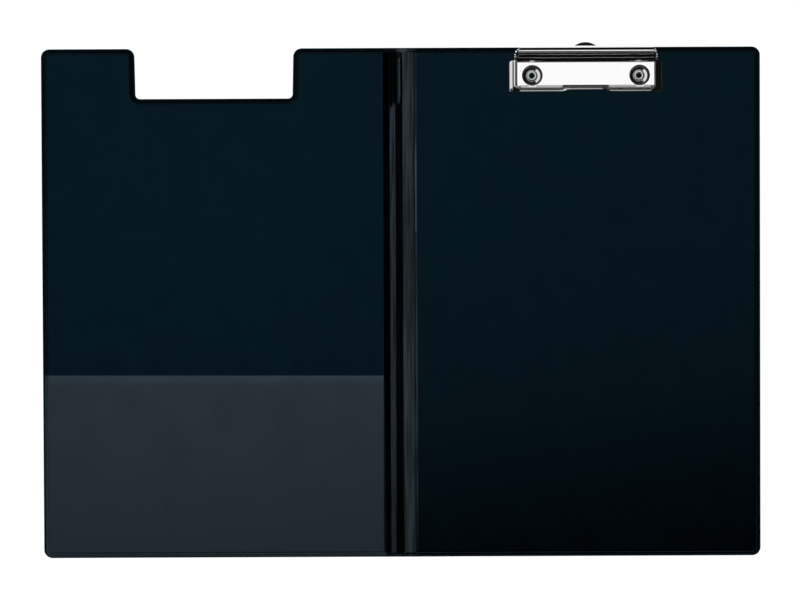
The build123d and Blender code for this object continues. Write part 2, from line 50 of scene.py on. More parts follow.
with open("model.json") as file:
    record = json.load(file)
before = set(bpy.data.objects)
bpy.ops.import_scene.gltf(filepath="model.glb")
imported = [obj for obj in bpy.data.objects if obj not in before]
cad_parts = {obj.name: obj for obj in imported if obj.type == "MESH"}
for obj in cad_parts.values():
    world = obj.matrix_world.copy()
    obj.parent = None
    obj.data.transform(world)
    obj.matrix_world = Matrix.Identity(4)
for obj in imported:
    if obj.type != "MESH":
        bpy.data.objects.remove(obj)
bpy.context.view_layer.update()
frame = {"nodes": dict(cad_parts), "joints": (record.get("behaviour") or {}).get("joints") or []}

BACK_LOW, BACK_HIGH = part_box("back_outer_film")
FRONT_LOW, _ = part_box("front_outer_film")
_, FACE_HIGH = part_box("back_inner_film")
JAW_LOW, JAW_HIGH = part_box("clip_jaw")
HINGE_X = {joint["name"]: joint["pos_m"][0] for joint in frame["joints"] if joint["type"] == "hinge"}
PIVOT = next(joint["pos_m"] for joint in frame["joints"] if joint["name"] == "jaw_pivot")
Y_TOP = BACK_HIGH.y
Y_BOTTOM = BACK_LOW.y
Z_FACE = FACE_HIGH.z
X_CLIP = (JAW_LOW.x + JAW_HIGH.x) / 2
CLIP_HALF = (JAW_HIGH.x - JAW_LOW.x) / 2
CLIP_ORIGIN = np.array((X_CLIP, Y_TOP, Z_FACE))
MM = 0.001

# Points of the jaw's section from the plate to the end of its upper bend, and of a cheek below it
BEND_COLUMNS = 17
CHEEK_COLUMNS = 6

# Half the width of the film's bend beside the front cover
FRONT_BEND = 0.45 * MM


def length(name, default, description):
    """Size in metres, shown with its unit."""
    return FloatProperty(name=name, description=description, default=default, unit="LENGTH", precision=5)


def angle(name, degrees, description):
    """Angle, shown in degrees."""
    return FloatProperty(name=name, description=description, default=math.radians(degrees), subtype="ANGLE")


def plain(name, default, description):
    """Number without a unit."""
    return FloatProperty(name=name, description=description, default=default, precision=4)


def colour(name, default, description):
    """Linear colour."""
    return FloatVectorProperty(name=name, description=description, default=default, size=3, subtype="COLOR")


class FolderFilmSizes(bpy.types.PropertyGroup):
    """Skins of the two covers."""

    film: length("Film", 0.0003, "Thickness of the inner film")
    outer_film: length("Outer film", 0.0004, "Thickness of the outer film")
    rim: length("Weld rim", 0.003, "Width of the weld round the boards")
    corner: length("Corner", 0.0055, "Radius of the corners of the covers")
    notch_from_hinge: length("Notch from hinge", 0.1139, "From the front hinge line to the notch's middle")
    notch_side: length("Notch side", 0.0019, "Room between the clip and each side of the notch")
    notch_front: length("Notch front", 0.0036, "Room between the clip and the floor of the notch")
    notch_taper: length("Notch taper", 0.0005, "How far each side of the notch leans in at its floor")
    notch_floor: length("Notch floor", 0.003, "Radius of the two inner corners of the notch")
    shoulder_run: length("Shoulder run", 0.0011, "Run of the soft edge along the face")
    shoulder_drop: length("Shoulder drop", 0.0008, "Drop of the soft edge down the wall")
    weld_sink: length("Weld sink", 0.00014, "Depth of the weld in the outside")
    hinge_gap: length("Hinge gap", 0.0006, "Half the width of each hinge line")
    board_from_hinge: length("Board from hinge", 0.0026, "From the front hinge line to the front board")


class FolderSpineSizes(bpy.types.PropertyGroup):
    """Film between the two boards. Places along X are measured from the front hinge line."""

    columns: IntProperty(name="Columns", description="Grid columns over each strip of film", default=80)
    rows: IntProperty(name="Rows", description="Grid rows along the spine", default=420)
    front_edge: length("Front edge", 0.0034, "From the front hinge line back to the flat of the front cover")
    groove_place: length("Groove place", 0.0011, "Bottom of the groove beside the front cover")
    groove_height: length("Groove height", 0.00056, "Height of the film at the bottom of the groove")
    ridge_place: length("Ridge place", 0.0041, "Crest of the ridge")
    ridge_height: length("Ridge height", 0.0015, "Height of the film on the ridge")
    crest_place: length("Crest place", 0.0030, "Crest of the ridge near the top edge")
    valley_place: length("Valley place", 0.0101, "Bottom of the valley beyond the ridge")
    valley_height: length("Valley height", 0.00058, "Height of the film in the valley")
    back_edge: length("Back edge", 0.0172, "Where the film reaches the face of the back cover")
    fold_place: length("Fold place", 0.0081, "Crest of the small fold near the top")
    fold_height: length("Fold height", 0.00042, "Height of the small fold")
    ridge_stop: length("Ridge stop", 0.0362, "From the top edge to where the ridge flattens out")
    loose_start: length("Loose film", 0.0046, "From the loose film's foot to the back hinge line")
    board_start: length("Back board", 0.0047, "From the back hinge line to the back board")
    wrinkle: length("Wrinkle", 0.00003, "Height of the long wrinkles in the loose film")


class FolderPocketSizes(bpy.types.PropertyGroup):
    """Pocket on the front cover."""

    height: length("Height", 0.1198, "From the bottom edge to the mouth")
    film: length("Film", 0.0002, "Thickness of the pocket film")
    from_hinge: length("From hinge", 0.0017, "From the front hinge line to the pocket's edge")
    slant: length("Mouth slant", 0.00045, "How far the mouth rises to the left and falls to the right")
    mouth_roll: length("Mouth roll", 0.0002, "How far the film rolls down at the mouth")
    roll_length: length("Roll length", 0.006, "Length over which the film rolls down")


class FolderJawSizes(bpy.types.PropertyGroup):
    """Jaw of the clip. Lengths along Y are measured from the top edge of the cover."""

    sheet: length("Sheet", 0.0008, "Thickness of the steel")
    height: length("Height", 0.007, "Top of the plate over the cover")
    half: length("Half width", 0.0455, "From the middle to the shoulder of a side wall")
    front: length("Plate front", 0.0272, "From the top edge to the shoulder of the front wall")
    rear: length("Plate rear", 0.0101, "From the top edge to the foot of the press slope")
    flange_rear: length("Flange rear", 0.0087, "From the top edge to the rear end of the side flanges")
    side_bend: length("Side bend", 0.0010, "Radius between plate and side walls")
    front_bend: length("Front bend", 0.00075, "Radius between plate and front wall")
    facet: length("Facet", 0.00225, "From the front shoulder back to where the plate starts to fall")
    facet_tilt: angle("Facet tilt", 3.4, "Fall of the plate's front and of the toe")
    plan_corner: length("Plan corner", 0.0030, "Radius of the two front corners seen from above")
    side_slant: angle("Side slant", 3.5, "Lean of the side walls")
    front_slant: angle("Front slant", 3, "Lean of the front wall")
    side_foot: length("Side foot", 0.0018, "Height of the foot of the side walls")
    front_foot: length("Front foot", 0.0011, "Height of the foot of the front wall")
    side_fillet: length("Side fillet", 0.0005, "Radius between side wall and flange")
    front_fillet: length("Front fillet", 0.00035, "Radius between front wall and flange")
    flange_tilt: angle("Flange tilt", 14, "Fall of the side flanges at their foot and rim")
    hollow_tilt: angle("Hollow tilt", 8, "Fall of the side flanges between foot and rim")
    hollow_from: length("Hollow from", 0.0013, "From the shoulder to the flatter strip")
    hollow_to: length("Hollow to", 0.0022, "From the shoulder to the end of the flatter strip")
    flange_roll: length("Flange roll", 0.0010, "Radius of the rolled rim of the side flanges")
    rim_tilt: angle("Rim tilt", 62, "Fall at the edge of the rolled rim")
    toe_reach: length("Toe reach", 0.00195, "From the front shoulder to the end of the front flange")
    slope_tilt: angle("Slope tilt", 48.5, "Tilt of the press slope")
    slope_bend: length("Slope bend", 0.0007, "Radius between plate and slope")
    lip_bend: length("Lip bend", 0.0038, "Radius between slope and lip")
    bead: length("Bead", 0.0004, "Length of the straight bead in the lip's bend")
    bead_tilt: angle("Bead tilt", 31, "Tilt of the bead")
    rib: length("Rib", 0.00004, "Height of the two fine ribs along the press slope")
    rib_low: length("Lower rib", 0.0036, "From the foot of the slope to the lower rib")
    rib_high: length("Upper rib", 0.0066, "From the foot of the slope to the upper rib")
    lip_corner: length("Lip corner", 0.0018, "How far the lip's corners are drawn in")
    lip_corner_run: length("Lip corner run", 0.0042, "Length of the lip's rounded corners")
    lip_end: length("Lip end", 0.0001, "From the top edge to the end of the lip")
    lip_height: length("Lip height", 0.01519, "Top of the lip over the cover")
    cheek_flare: plain("Cheek flare", 0.22, "Outward lean of the cheeks under the slope")
    ear: length("Ear", 0.0042, "Radius of the ears round the rod")
    arch_half: length("Arch half", 0.0160, "Half the width of the arch in the front flange")
    arch_rise: length("Arch rise", 0.0009, "Rise of the arch")
    arch_depth: length("Arch depth", 0.0012, "How far the front wall steps back over the arch")
    hole: length("Access hole", 0.0135, "Diameter of the two access holes")
    rivet_half: length("Rivet half", 0.035, "From the middle to each rivet")
    rivet_y: length("Rivet place", 0.0188, "From the top edge to the rivets")


class FolderSmallSizes(bpy.types.PropertyGroup):
    """Rivets, springs and tab."""

    bore: length("Bore", 0.00135, "Radius of the rivet's bore")
    shank: length("Shank", 0.0020, "Radius of the rivet's shank")
    head: length("Head", 0.00365, "Radius of the rivet's head")
    clinch: length("Clinch", 0.0032, "Radius of the rivet's clinched end")
    base_sheet: length("Base sheet", 0.0010, "Thickness of the clip base")
    wire: length("Wire", 0.0010, "Diameter of the spring wire")
    coil: length("Coil", 0.0022, "Radius of the coils, to the middle of the wire")
    pitch: length("Pitch", 0.0015, "Rise of the coil for each turn")
    coil_start: length("Coil start", 0.0185, "From the clip's middle to the inner end of a coil")
    turns: IntProperty(name="Turns", description="Whole turns of a coil", default=5)
    arm_angle: angle("Arm angle", 14, "Fall of the lower arm")
    arm: length("Upper arm", 0.007, "Length of the upper arm")
    seat_gap: length("Seat gap", 0.00003, "Gap between an arm and what it presses on")
    tab_half: length("Tab half", 0.012, "Half the width of the hanging tab")
    tab_lug: length("Tab lug", 0.0015, "Reach of the tab's lugs")
    tab_lug_length: length("Tab lug length", 0.0025, "Length of the tab's lugs")
    tab_hole: length("Tab hole", 0.004, "Radius of the hanging hole")
    tab_hole_place: length("Tab hole place", 0.0075, "From the tip of the tab to its hole")
    tab_edge: length("Tab edge", 0.00035, "Radius of the tab's moulded edges")


class FolderFinishes(bpy.types.PropertyGroup):
    """Colours and gloss of the finishes."""

    film: colour("Film", (0.0003, 0.0010, 0.0018), "Body colour of the cover film")
    film_sheen: colour("Film sheen", (0.16, 0.66, 1.0), "Tint of the film's reflection")
    film_gloss: plain("Film roughness", 0.14, "Roughness of the cover film")
    film_index: plain("Film index", 1.26, "Index of refraction of the cover film")
    crease: colour("Crease", (0.0006, 0.0014, 0.0020), "Body colour of the film along the spine")
    pocket: colour("Pocket", (0.006, 0.0275, 0.036), "Body colour of the matt pocket film")
    pocket_gloss: plain("Pocket roughness", 0.26, "Roughness of the pocket film")
    bright: colour("Bright steel", (0.97, 0.97, 0.965), "Nickel plate of the jaw")
    bright_gloss: plain("Bright steel roughness", 0.035, "Roughness of the jaw")
    base: colour("Base steel", (0.95, 0.95, 0.94), "Nickel plate of the clip base")
    spring: colour("Spring steel", (0.42, 0.42, 0.41), "Spring wire")
    rivet: colour("Rivet", (0.62, 0.62, 0.61), "Rivets and washers")
    tab: colour("Tab", (0.006, 0.006, 0.0065), "Moulded tab")
    board: colour("Board", (0.20, 0.18, 0.15), "Grey board")


class FolderStudio(bpy.types.PropertyGroup):
    """Camera, floor and light."""

    distance: length("Distance", 2.0, "Height of the camera over the folder")
    camera_x: length("Camera x", -0.0009, "Place of the camera along the folder")
    camera_y: length("Camera y", 0.047, "Place of the camera up the folder")
    aim_y: length("Aim y", 0.0003, "Point up the folder at which the camera looks")
    roll: angle("Roll", 0.24, "Roll of the camera")
    view_width: length("View width", 0.52505, "Width of the picture at the folder")
    sensor: plain("Sensor", 36.0, "Width of the sensor in millimetres")
    floor_half: length("Floor", 6.0, "Half the width of the floor")
    floor_gap: length("Floor gap", 0.0002, "Gap under the folder")
    floor_glow: plain("Floor glow", 0.93, "White of the floor for the camera and for gloss")
    overhead: plain("Overhead", 1.24, "Level of the light overhead")
    left: plain("Left light", 0.9, "Level of the light on the left")
    strip: plain("Strip", 1.2, "Level of the low strip of light in front")
    horizon: plain("Horizon", 0.25, "Level of the light along the horizon")
    room: plain("Room level", 0.8, "Share of every light of the room that is let through")
    low: plain("Low light", 0.006, "Level of the dark side of the room")


GROUPS = {
    "folder_film": FolderFilmSizes,
    "folder_spine": FolderSpineSizes,
    "folder_pocket": FolderPocketSizes,
    "folder_jaw": FolderJawSizes,
    "folder_small": FolderSmallSizes,
    "folder_finish": FolderFinishes,
    "folder_studio": FolderStudio,
}


def smooth(low, high, value):
    """Smooth step from 0 at low to 1 at high: 3t^2 - 2t^3."""
    t = np.clip((value - low) / (high - low), 0, 1)
    return t * t * (3 - 2 * t)


def remake(mesh, change=None):
    """Lets a function change the mesh, then turns the faces outwards."""
    work = bmesh.new()
    work.from_mesh(mesh)
    if change:
        change(work)
    bmesh.ops.recalc_face_normals(work, faces=work.faces)
    work.to_mesh(mesh)
    work.free()


def new_piece(name, points, faces, sharp=35):
    """Mesh object at the origin from an array of points and lists of faces."""
    mesh = bpy.data.meshes.new(name)
    mesh.from_pydata(np.asarray(points, float).reshape(-1, 3).tolist(), [], faces)
    if mesh.validate():
        raise ValueError(f"{name} has faces that Blender had to mend")
    remake(mesh)
    piece = bpy.data.objects.new(name, mesh)
    bpy.context.scene.collection.objects.link(piece)
    shade(piece, sharp)
    return piece


def points_of(piece):
    """Points of a piece as an array."""
    points = np.zeros(len(piece.data.vertices) * 3)
    piece.data.vertices.foreach_get("co", points)
    return points.reshape(-1, 3)


def place_points(piece, points):
    """Moves the points of a piece to the places in an array."""
    piece.data.vertices.foreach_set("co", points.ravel())
    piece.data.update()


def shade(piece, sharp):
    """Smooth shading with edges over this many degrees kept sharp."""
    piece.data.shade_smooth()
    piece.data.set_sharp_from_angle(angle=math.radians(sharp))


def finish_piece(piece, body, material, slot, *nodes):
    """Checks that a piece is closed, gives it its material and body, and hides the CAD nodes that it stands
    for.
    """
    edges = np.empty(len(piece.data.loops), dtype=int)
    piece.data.loops.foreach_get("edge_index", edges)
    if np.any(np.bincount(edges, minlength=len(piece.data.edges)) != 2):
        raise ValueError(f"{piece.name} isn't closed")
    piece.data.materials.clear()
    piece.data.materials.append(material)
    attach(piece, body)
    dress(piece, slot, *nodes)


def dress(piece, slot, *nodes):
    """Hides the CAD nodes that a piece stands for; its slot is not used."""
    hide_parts(*nodes)


def quads(rows, columns, first=0, close_rows=False, close_columns=False):
    """Faces of a grid of points: point (i, j) has index first + i * columns + j."""
    last_i = rows if close_rows else rows - 1
    last_j = columns if close_columns else columns - 1
    i, j = np.meshgrid(np.arange(last_i), np.arange(last_j), indexing="ij")
    i1 = (i + 1) % rows
    j1 = (j + 1) % columns
    corners = (i * columns + j, i1 * columns + j, i1 * columns + j1, i * columns + j1)
    return (np.stack(corners, axis=-1).reshape(-1, 4) + first).tolist()


def slab(name, top, bottom):
    """Closed piece between two grids of the same shape, joined round their four sides."""
    rows, columns = top.shape[:2]
    count = rows * columns
    index = np.arange(count).reshape(rows, columns)
    edge = np.concatenate((index[:, 0], index[-1, 1:], index[-2::-1, -1], index[0, -2:0:-1]))
    following = np.roll(edge, -1)
    sides = np.stack((edge, following, following + count, edge + count), axis=-1).tolist()
    lower = [face[::-1] for face in quads(rows, columns, count)]
    points = np.concatenate((top.reshape(-1, 3), bottom.reshape(-1, 3)))
    return new_piece(name, points, quads(rows, columns) + lower + sides)


def arc(centre, radii, start, stop, count):
    """Points on an ellipse round a centre between two angles in degrees."""
    turn = np.radians(np.linspace(start, stop, count))
    return np.stack((centre[0] + radii[0] * np.cos(turn), centre[1] + radii[1] * np.sin(turn)), axis=-1)


def ring_faces(rings, around, first=0):
    """Faces of a tube of rings of points, with a flat face over the first and over the last ring."""
    last = first + (rings - 1) * around
    ends = [list(range(start, start + around)) for start in (first, last)]
    return quads(rings, around, first, close_columns=True) + ends


def ringed(name, rings, sharp=35):
    """Closed piece from an array of rings of points."""
    return new_piece(name, rings, ring_faces(*rings.shape[:2]), sharp)


def lifted(plan, heights):
    """Rings of points from an array of flat rings and the height of each."""
    z = np.broadcast_to(heights[:, None, None], plan.shape[:2] + (1,))
    return np.concatenate((plan, z), axis=-1)


def bent_line(corners, segments=10):
    """Closed outline whose points shift in proportion to an inset.

    A round corner is (x, y, radius, start angle, sweep): the point at angle a is the centre plus the radius
    times (cos a, sin a). With a positive sweep the radius shrinks by the inset and with a negative one it
    grows. A sharp corner is (x, y, shift with the rim inset, shift with the hinge inset). Returns three
    arrays: the points, their shift with the rim inset, and with the hinge inset.
    """
    base, rim, hinge = [], [], []
    for x, y, *bend in corners:
        if len(bend) == 2:
            base.append(np.array([(x, y)]))
            rim.append(np.array([bend[0]]))
            hinge.append(np.array([bend[1]]))
            continue
        radius, start, sweep = bend
        turn = np.radians(start + np.linspace(0, sweep, segments + 1))
        out = np.stack((np.cos(turn), np.sin(turn)), axis=-1)
        base.append(np.array((x, y)) + radius * out)
        rim.append(-math.copysign(1, sweep) * out)
        hinge.append(np.zeros_like(out))
    return np.concatenate(base), np.concatenate(rim), np.concatenate(hinge)


def outline_skin(name, outline, profile, hinge_insets):
    """Closed skin whose rings follow an outline.

    Ring k is outline + rim inset k * rim shift + hinge inset k * hinge shift, at height k. The first and the
    last ring are closed by flat faces.
    """
    base, rim, hinge = outline
    plan = base + profile[:, :1, None] * rim + hinge_insets[:, None, None] * hinge
    return ringed(name, lifted(plan, profile[:, 1]))


def front_outline(x_end):
    """Outline of the front cover, anticlockwise from the top of its side at the spine."""
    film = bpy.context.scene.folder_film
    corner, floor_corner = film.corner, film.notch_floor
    x_left = FRONT_LOW.x
    x_notch = HINGE_X["front_hinge"] - film.notch_from_hinge
    half = CLIP_HALF + film.notch_side
    floor = JAW_LOW.y - film.notch_front
    inner = half - film.notch_taper
    return bent_line([
        (x_end, Y_TOP, (0, -1), (-1, 0)),
        (x_notch + half + corner, Y_TOP - corner, corner, 90, 90),
        (x_notch + inner - floor_corner, floor + floor_corner, floor_corner, 0, -90),
        (x_notch - inner + floor_corner, floor + floor_corner, floor_corner, -90, -90),
        (x_notch - half - corner, Y_TOP - corner, corner, 0, 90),
        (x_left + corner, Y_TOP - corner, corner, 90, 90),
        (x_left + corner, Y_BOTTOM + corner, corner, 180, 90),
        (x_end, Y_BOTTOM, (0, 1), (-1, 0)),
    ])


def back_outline(x_end):
    """Outline of the back cover, anticlockwise from the bottom of its side at the spine."""
    corner = bpy.context.scene.folder_film.corner
    x_right = BACK_HIGH.x
    return bent_line([
        (x_end, Y_BOTTOM, (0, 1), (1, 0)),
        (x_right - corner, Y_BOTTOM + corner, corner, 270, 90),
        (x_right - corner, Y_TOP - corner, corner, 0, 90),
        (x_end, Y_TOP, (0, -1), (1, 0)),
    ])


def cover_top():
    """Upper side of the covers' inner film, from the face over the shoulder to the weld.

    Points are (inset from the cover's edge, height). The shoulder is a quarter ellipse, the foot another
    one, and a shallow groove runs along the weld.
    """
    sizes = bpy.context.scene.folder_film
    run, drop = sizes.shoulder_run, sizes.shoulder_drop
    wall = sizes.rim - sizes.film
    shoulder = Z_FACE - drop
    foot_run, flat_run = 0.85 * MM, 0.5 * MM
    foot_drop = shoulder - sizes.outer_film - sizes.film
    groove = np.array([(1.75, -0.05), (1.6, -0.1), (1.25, -0.1), (1.1, -0.05), (0.95, 0)]) * MM
    return np.concatenate((
        [(wall + run + flat_run, Z_FACE)],
        arc((wall + run, shoulder), (run, drop), 90, 180, 9),
        arc((wall - foot_run, shoulder), (foot_run, foot_drop), 0, -90, 10)[1:],
        groove + (0, sizes.outer_film + sizes.film),
    ))


def cover_profile():
    """Section of the covers' inner film: its upper side, the round edge of the weld and back underneath."""
    sizes = bpy.context.scene.folder_film
    outer = sizes.outer_film
    radius = 0.16 * MM
    edge = arc((radius, outer + sizes.film - radius), (radius, radius), 90, 180, 5)
    under = np.array([
        (0, outer),
        (sizes.rim - 0.5 * MM, outer),
        (sizes.rim, outer + 0.6 * MM),
        (sizes.rim, Z_FACE - sizes.film),
        (sizes.rim + sizes.shoulder_run, Z_FACE - sizes.film),
    ])
    return np.concatenate((cover_top(), edge, under))


def outer_profile():
    """Section of the covers' outer film: the weld is sunk from below, with a deeper groove along it."""
    sizes = bpy.context.scene.folder_film
    rim, sink = sizes.rim, sizes.weld_sink
    groove = 1.6 * sink
    edge = 0.12 * MM
    return np.array([
        (rim + 1.6 * MM, 0),
        (rim + 0.5 * MM, 0),
        (rim - 0.1 * MM, 0.3 * sink),
        (rim - 0.6 * MM, sink),
        (1.7 * MM, sink),
        (1.5 * MM, groove),
        (1.1 * MM, groove),
        (0.9 * MM, sink),
        (edge, sink),
        (0, sink + edge),
        (0, sizes.outer_film),
        (rim, sizes.outer_film),
    ])


def hinge_side(insets, rim_foot, hinge_foot):
    """Insets at the hinge: the weld is scaled from one width to another, and the rest keeps its size."""
    return np.where(insets < rim_foot, insets * hinge_foot / rim_foot, insets - rim_foot + hinge_foot)


def make_cover_skins(cover):
    """Inner and outer skin of the front or the back cover."""
    sizes = bpy.context.scene.folder_film
    spine = bpy.context.scene.folder_spine
    x_hinge = HINGE_X[cover + "_hinge"]
    if cover == "front":
        outline = front_outline
        x_inner, x_outer = x_hinge - spine.front_edge, x_hinge - sizes.hinge_gap
        hinge_foot = sizes.board_from_hinge - sizes.hinge_gap - sizes.film
    else:
        outline = back_outline
        x_inner, x_outer = x_hinge + spine.board_start, x_hinge + sizes.hinge_gap
        hinge_foot = spine.board_start - sizes.film
    profile = cover_profile()
    # At the spine only the underside past the weld is set back, by the film's thickness
    past_weld = 4
    insets = np.zeros(len(profile))
    insets[-past_weld:] = sizes.film
    inner = outline_skin(cover + "_inner_skin", outline(x_inner), profile, insets)
    below = outer_profile()
    insets = hinge_side(below[:, 0], sizes.rim - sizes.film, hinge_foot)
    outer = outline_skin(cover + "_outer_skin", outline(x_outer), below, insets)
    return inner, outer


def end_weld(y):
    """How far the film is up at y: 0 on the weld of the top and bottom edge, 1 past it.

    It follows the covers' own section, so that the strips meet them without a step.
    """
    over = cover_top()[::-1]
    from_end = np.minimum(Y_TOP - y, y - Y_BOTTOM)
    weld = over[:, 1].min()
    return (np.interp(from_end, over[:, 0], over[:, 1]) - weld) / (Z_FACE - weld)


def wrinkles(x, y, size):
    """Long soft creases: each is a Gaussian ridge across x whose line wanders slowly along y.

    x is measured from the bottom of the valley.
    """
    total = np.zeros(np.broadcast(x, y).shape)
    spots = np.random.default_rng(5)
    for place in np.linspace(1.6, 8.0, 6) * MM:
        sway = spots.uniform(0.15, 0.4) * MM
        turns = spots.uniform(9, 24)
        start = spots.uniform(0, 6.28)
        width = spots.uniform(0.3, 0.55) * MM
        line = place + sway * np.sin(turns * y + start)
        strength = np.sin(2.3 * turns * y + 2 * start) * np.sin(0.7 * turns * y + start)
        total += size * strength * np.exp(-(((x - line) / width) ** 2))
    return total


def soft_ramp(distance, width):
    """0 below -width, the distance above width, and between them a parabola that meets both smoothly."""
    return np.clip(distance + width, 0, 2 * width) ** 2 / (4 * width) + np.maximum(distance - width, 0)


def film_chain(t, places, heights, corners):
    """Chain of straight flanks through the given places and heights, level outside them.

    The height is the first one plus, at each place, the change of slope times a soft ramp.
    """
    slopes = [(high - low) / (to - at) for at, to, low, high in zip(places, places[1:], heights, heights[1:])]
    height = heights[0]
    for place, corner, before, after in zip(places, corners, [0.0] + slopes, slopes + [0.0]):
        height = height + (after - before) * soft_ramp(t - place, corner)
    return height


def spine_height(x, y):
    """Height of the film's upper face between the two boards.

    Across, it is a chain of flanks: down into the groove, up the ridge, down into the valley and up to the
    back cover. Near the top edge the ridge's crest moves to the left, and the long flank beyond it has a
    small fold. The ends come down to the weld.
    """
    sizes = bpy.context.scene.folder_spine
    film = bpy.context.scene.folder_film
    weld = film.outer_film + film.film
    t = x - HINGE_X["front_hinge"]
    heights = (Z_FACE, sizes.groove_height, sizes.ridge_height, sizes.valley_height, Z_FACE)

    def chain(crest, groove_bend, crest_bend):
        edge = -sizes.front_edge + FRONT_BEND
        places = (edge, sizes.groove_place, crest, sizes.valley_place, sizes.back_edge)
        return film_chain(t, places, heights, (FRONT_BEND, groove_bend, crest_bend, 0.6 * MM, 1.5 * MM))

    below = chain(sizes.ridge_place, 0.5 * MM, 0.75 * MM)
    above = chain(sizes.crest_place, 0.35 * MM, 0.1 * MM)
    fold = sizes.fold_place + np.array((-1.25, 0, 1.5)) * MM
    ripple = film_chain(t, fold, (0.0, sizes.fold_height, 0.0), np.array((0.2, 0.15, 0.2)) * MM)
    from_top = Y_TOP - y
    shown = smooth(6 * MM, 11 * MM, from_top)
    shown = shown * (1 - smooth(sizes.ridge_stop, sizes.ridge_stop + 4 * MM, from_top))
    above = above + ripple * shown
    slanted = from_top + 0.8 * (t - sizes.ridge_place)
    along = smooth(sizes.ridge_stop - 2 * MM, sizes.ridge_stop + 4 * MM, slanted)
    height = above + (below - above) * along
    climb = np.clip((t - sizes.valley_place) / (sizes.back_edge - sizes.valley_place), 0, 1)
    inside = smooth(0.06, 0.3, climb) * (1 - smooth(0.85, 1.0, climb))
    height = height + wrinkles(t - sizes.valley_place, y, sizes.wrinkle) * inside
    return weld + (height - weld) * end_weld(y)


def spine_strip(name, x_from, x_to, columns, thickness, inset=0.0):
    """Film strip over the spine between two lines, inset at both ends, with more rows near them."""
    x = np.linspace(x_from, x_to, columns)
    y = np.linspace(Y_BOTTOM, Y_TOP, bpy.context.scene.folder_spine.rows)
    near_end = 4.2 * MM * np.linspace(0, 1, 30)
    y = np.unique(np.concatenate((y, Y_BOTTOM + near_end, Y_TOP - near_end)))
    y = y[(y >= Y_BOTTOM + inset) & (y <= Y_TOP - inset)]
    grid_x, grid_y = np.meshgrid(x, y, indexing="ij")
    top = np.stack((grid_x, grid_y, spine_height(grid_x, grid_y)), axis=-1)
    return slab(name, top, top - (0, 0, thickness))


def press_down(piece, groove):
    """Takes the lower half of a strip down to the floor, with a shallow groove along its middle."""
    points = points_of(piece)
    half = len(points) // 2
    x = points[half:, 0]
    across = (x - x.min()) / (x.max() - x.min())
    points[half:, 2] = groove * np.sin(np.pi * across) ** 2
    place_points(piece, points)


def make_core():
    """Grey strip under the ridge: its top stays under the film and its foot on the outer film."""
    film = bpy.context.scene.folder_film
    x_front = HINGE_X["front_hinge"]
    start, stop, from_end = 1.5 * MM, 8.2 * MM, 4.3 * MM
    gap, least = 0.02 * MM, 0.03 * MM
    core = spine_strip("spine_core", x_front + start, x_front + stop, 48, 0.3 * MM, from_end)
    points = points_of(core)
    half = len(points) // 2
    points[:half, 2] = np.maximum(points[:half, 2] - film.film - gap, film.outer_film + least)
    points[half:, 2] = film.outer_film
    place_points(core, points)
    return core


def flat_strip(name, x_from, x_to, height, groove):
    """Outer film strip along the spine, sunk from below by the groove times sin^2 across it."""
    x = np.linspace(x_from, x_to, 9)
    y = np.linspace(Y_BOTTOM, Y_TOP, 61)
    grid_x, grid_y = np.meshgrid(x, y, indexing="ij")
    across = (grid_x - x_from) / (x_to - x_from)
    top = np.stack((grid_x, grid_y, np.full_like(grid_x, height)), axis=-1)
    bottom = np.stack((grid_x, grid_y, groove * np.sin(np.pi * across) ** 2), axis=-1)
    return slab(name, top, bottom)


def jaw_section(height, facet, bend, lean, foot, fillet, flange, rim):
    """Section of the jaw from the plate to the rim of its flange, as (reach, height) points.

    The reach is measured from the shoulder. The plate falls a little over a facet, bends down, runs down a
    leaning wall and out through a hollow fillet. The flange falls at one tilt with a flatter strip in it, and
    rolls down at its rim. Every arc is a circle whose tangent turns from one fall to the next.
    """
    def turned(start, radius, fall_from, fall_to, count):
        falls = np.linspace(fall_from, fall_to, count + 1)[1:]
        across = radius * np.abs(np.sin(falls) - math.sin(fall_from))
        down = radius * np.abs(np.cos(falls) - math.cos(fall_from))
        return start + np.stack((across, -down), axis=-1)

    def straight(start, reach, fall):
        run = reach - start[0]
        return start + np.array([(run, -run * math.tan(fall))])

    facet_from, facet_to, facet_tilt = facet
    tilt, hollow_from, hollow_to, hollow_tilt, roll_radius, rim_tilt = flange
    steep = math.pi / 2 - lean
    middle_tilt = (tilt + hollow_tilt) / 2
    plate_run, soft_edge, easing = 2.6 * MM, 0.15 * MM, 0.1 * MM
    points = [np.array([(-plate_run, height), (facet_from, height)])]
    points.append(turned(points[-1][-1], soft_edge / math.sin(facet_tilt), 0, facet_tilt, 3))
    points.append(straight(points[-1][-1], facet_to, facet_tilt))
    points.append(turned(points[-1][-1], bend, facet_tilt, steep, 11))
    hollow = fillet * (math.cos(tilt) - math.cos(steep))
    drop = points[-1][-1, 1] - foot - hollow
    wall = np.linspace(0, 1, 6)[1:, None] * np.array((drop * math.tan(lean), -drop))
    points.append(points[-1][-1] + wall)
    points.append(turned(points[-1][-1], fillet, steep, tilt, 7))
    rolled = roll_radius * (math.sin(rim_tilt) - math.sin(tilt))
    for reach, fall in (
        (hollow_from, tilt),
        (hollow_from + easing, middle_tilt),
        (hollow_to, hollow_tilt),
        (hollow_to + easing, middle_tilt),
        (rim - rolled, tilt),
    ):
        points.append(straight(points[-1][-1], reach, fall))
    points.append(turned(points[-1][-1], roll_radius, tilt, rim_tilt, 8))
    return np.concatenate(points)


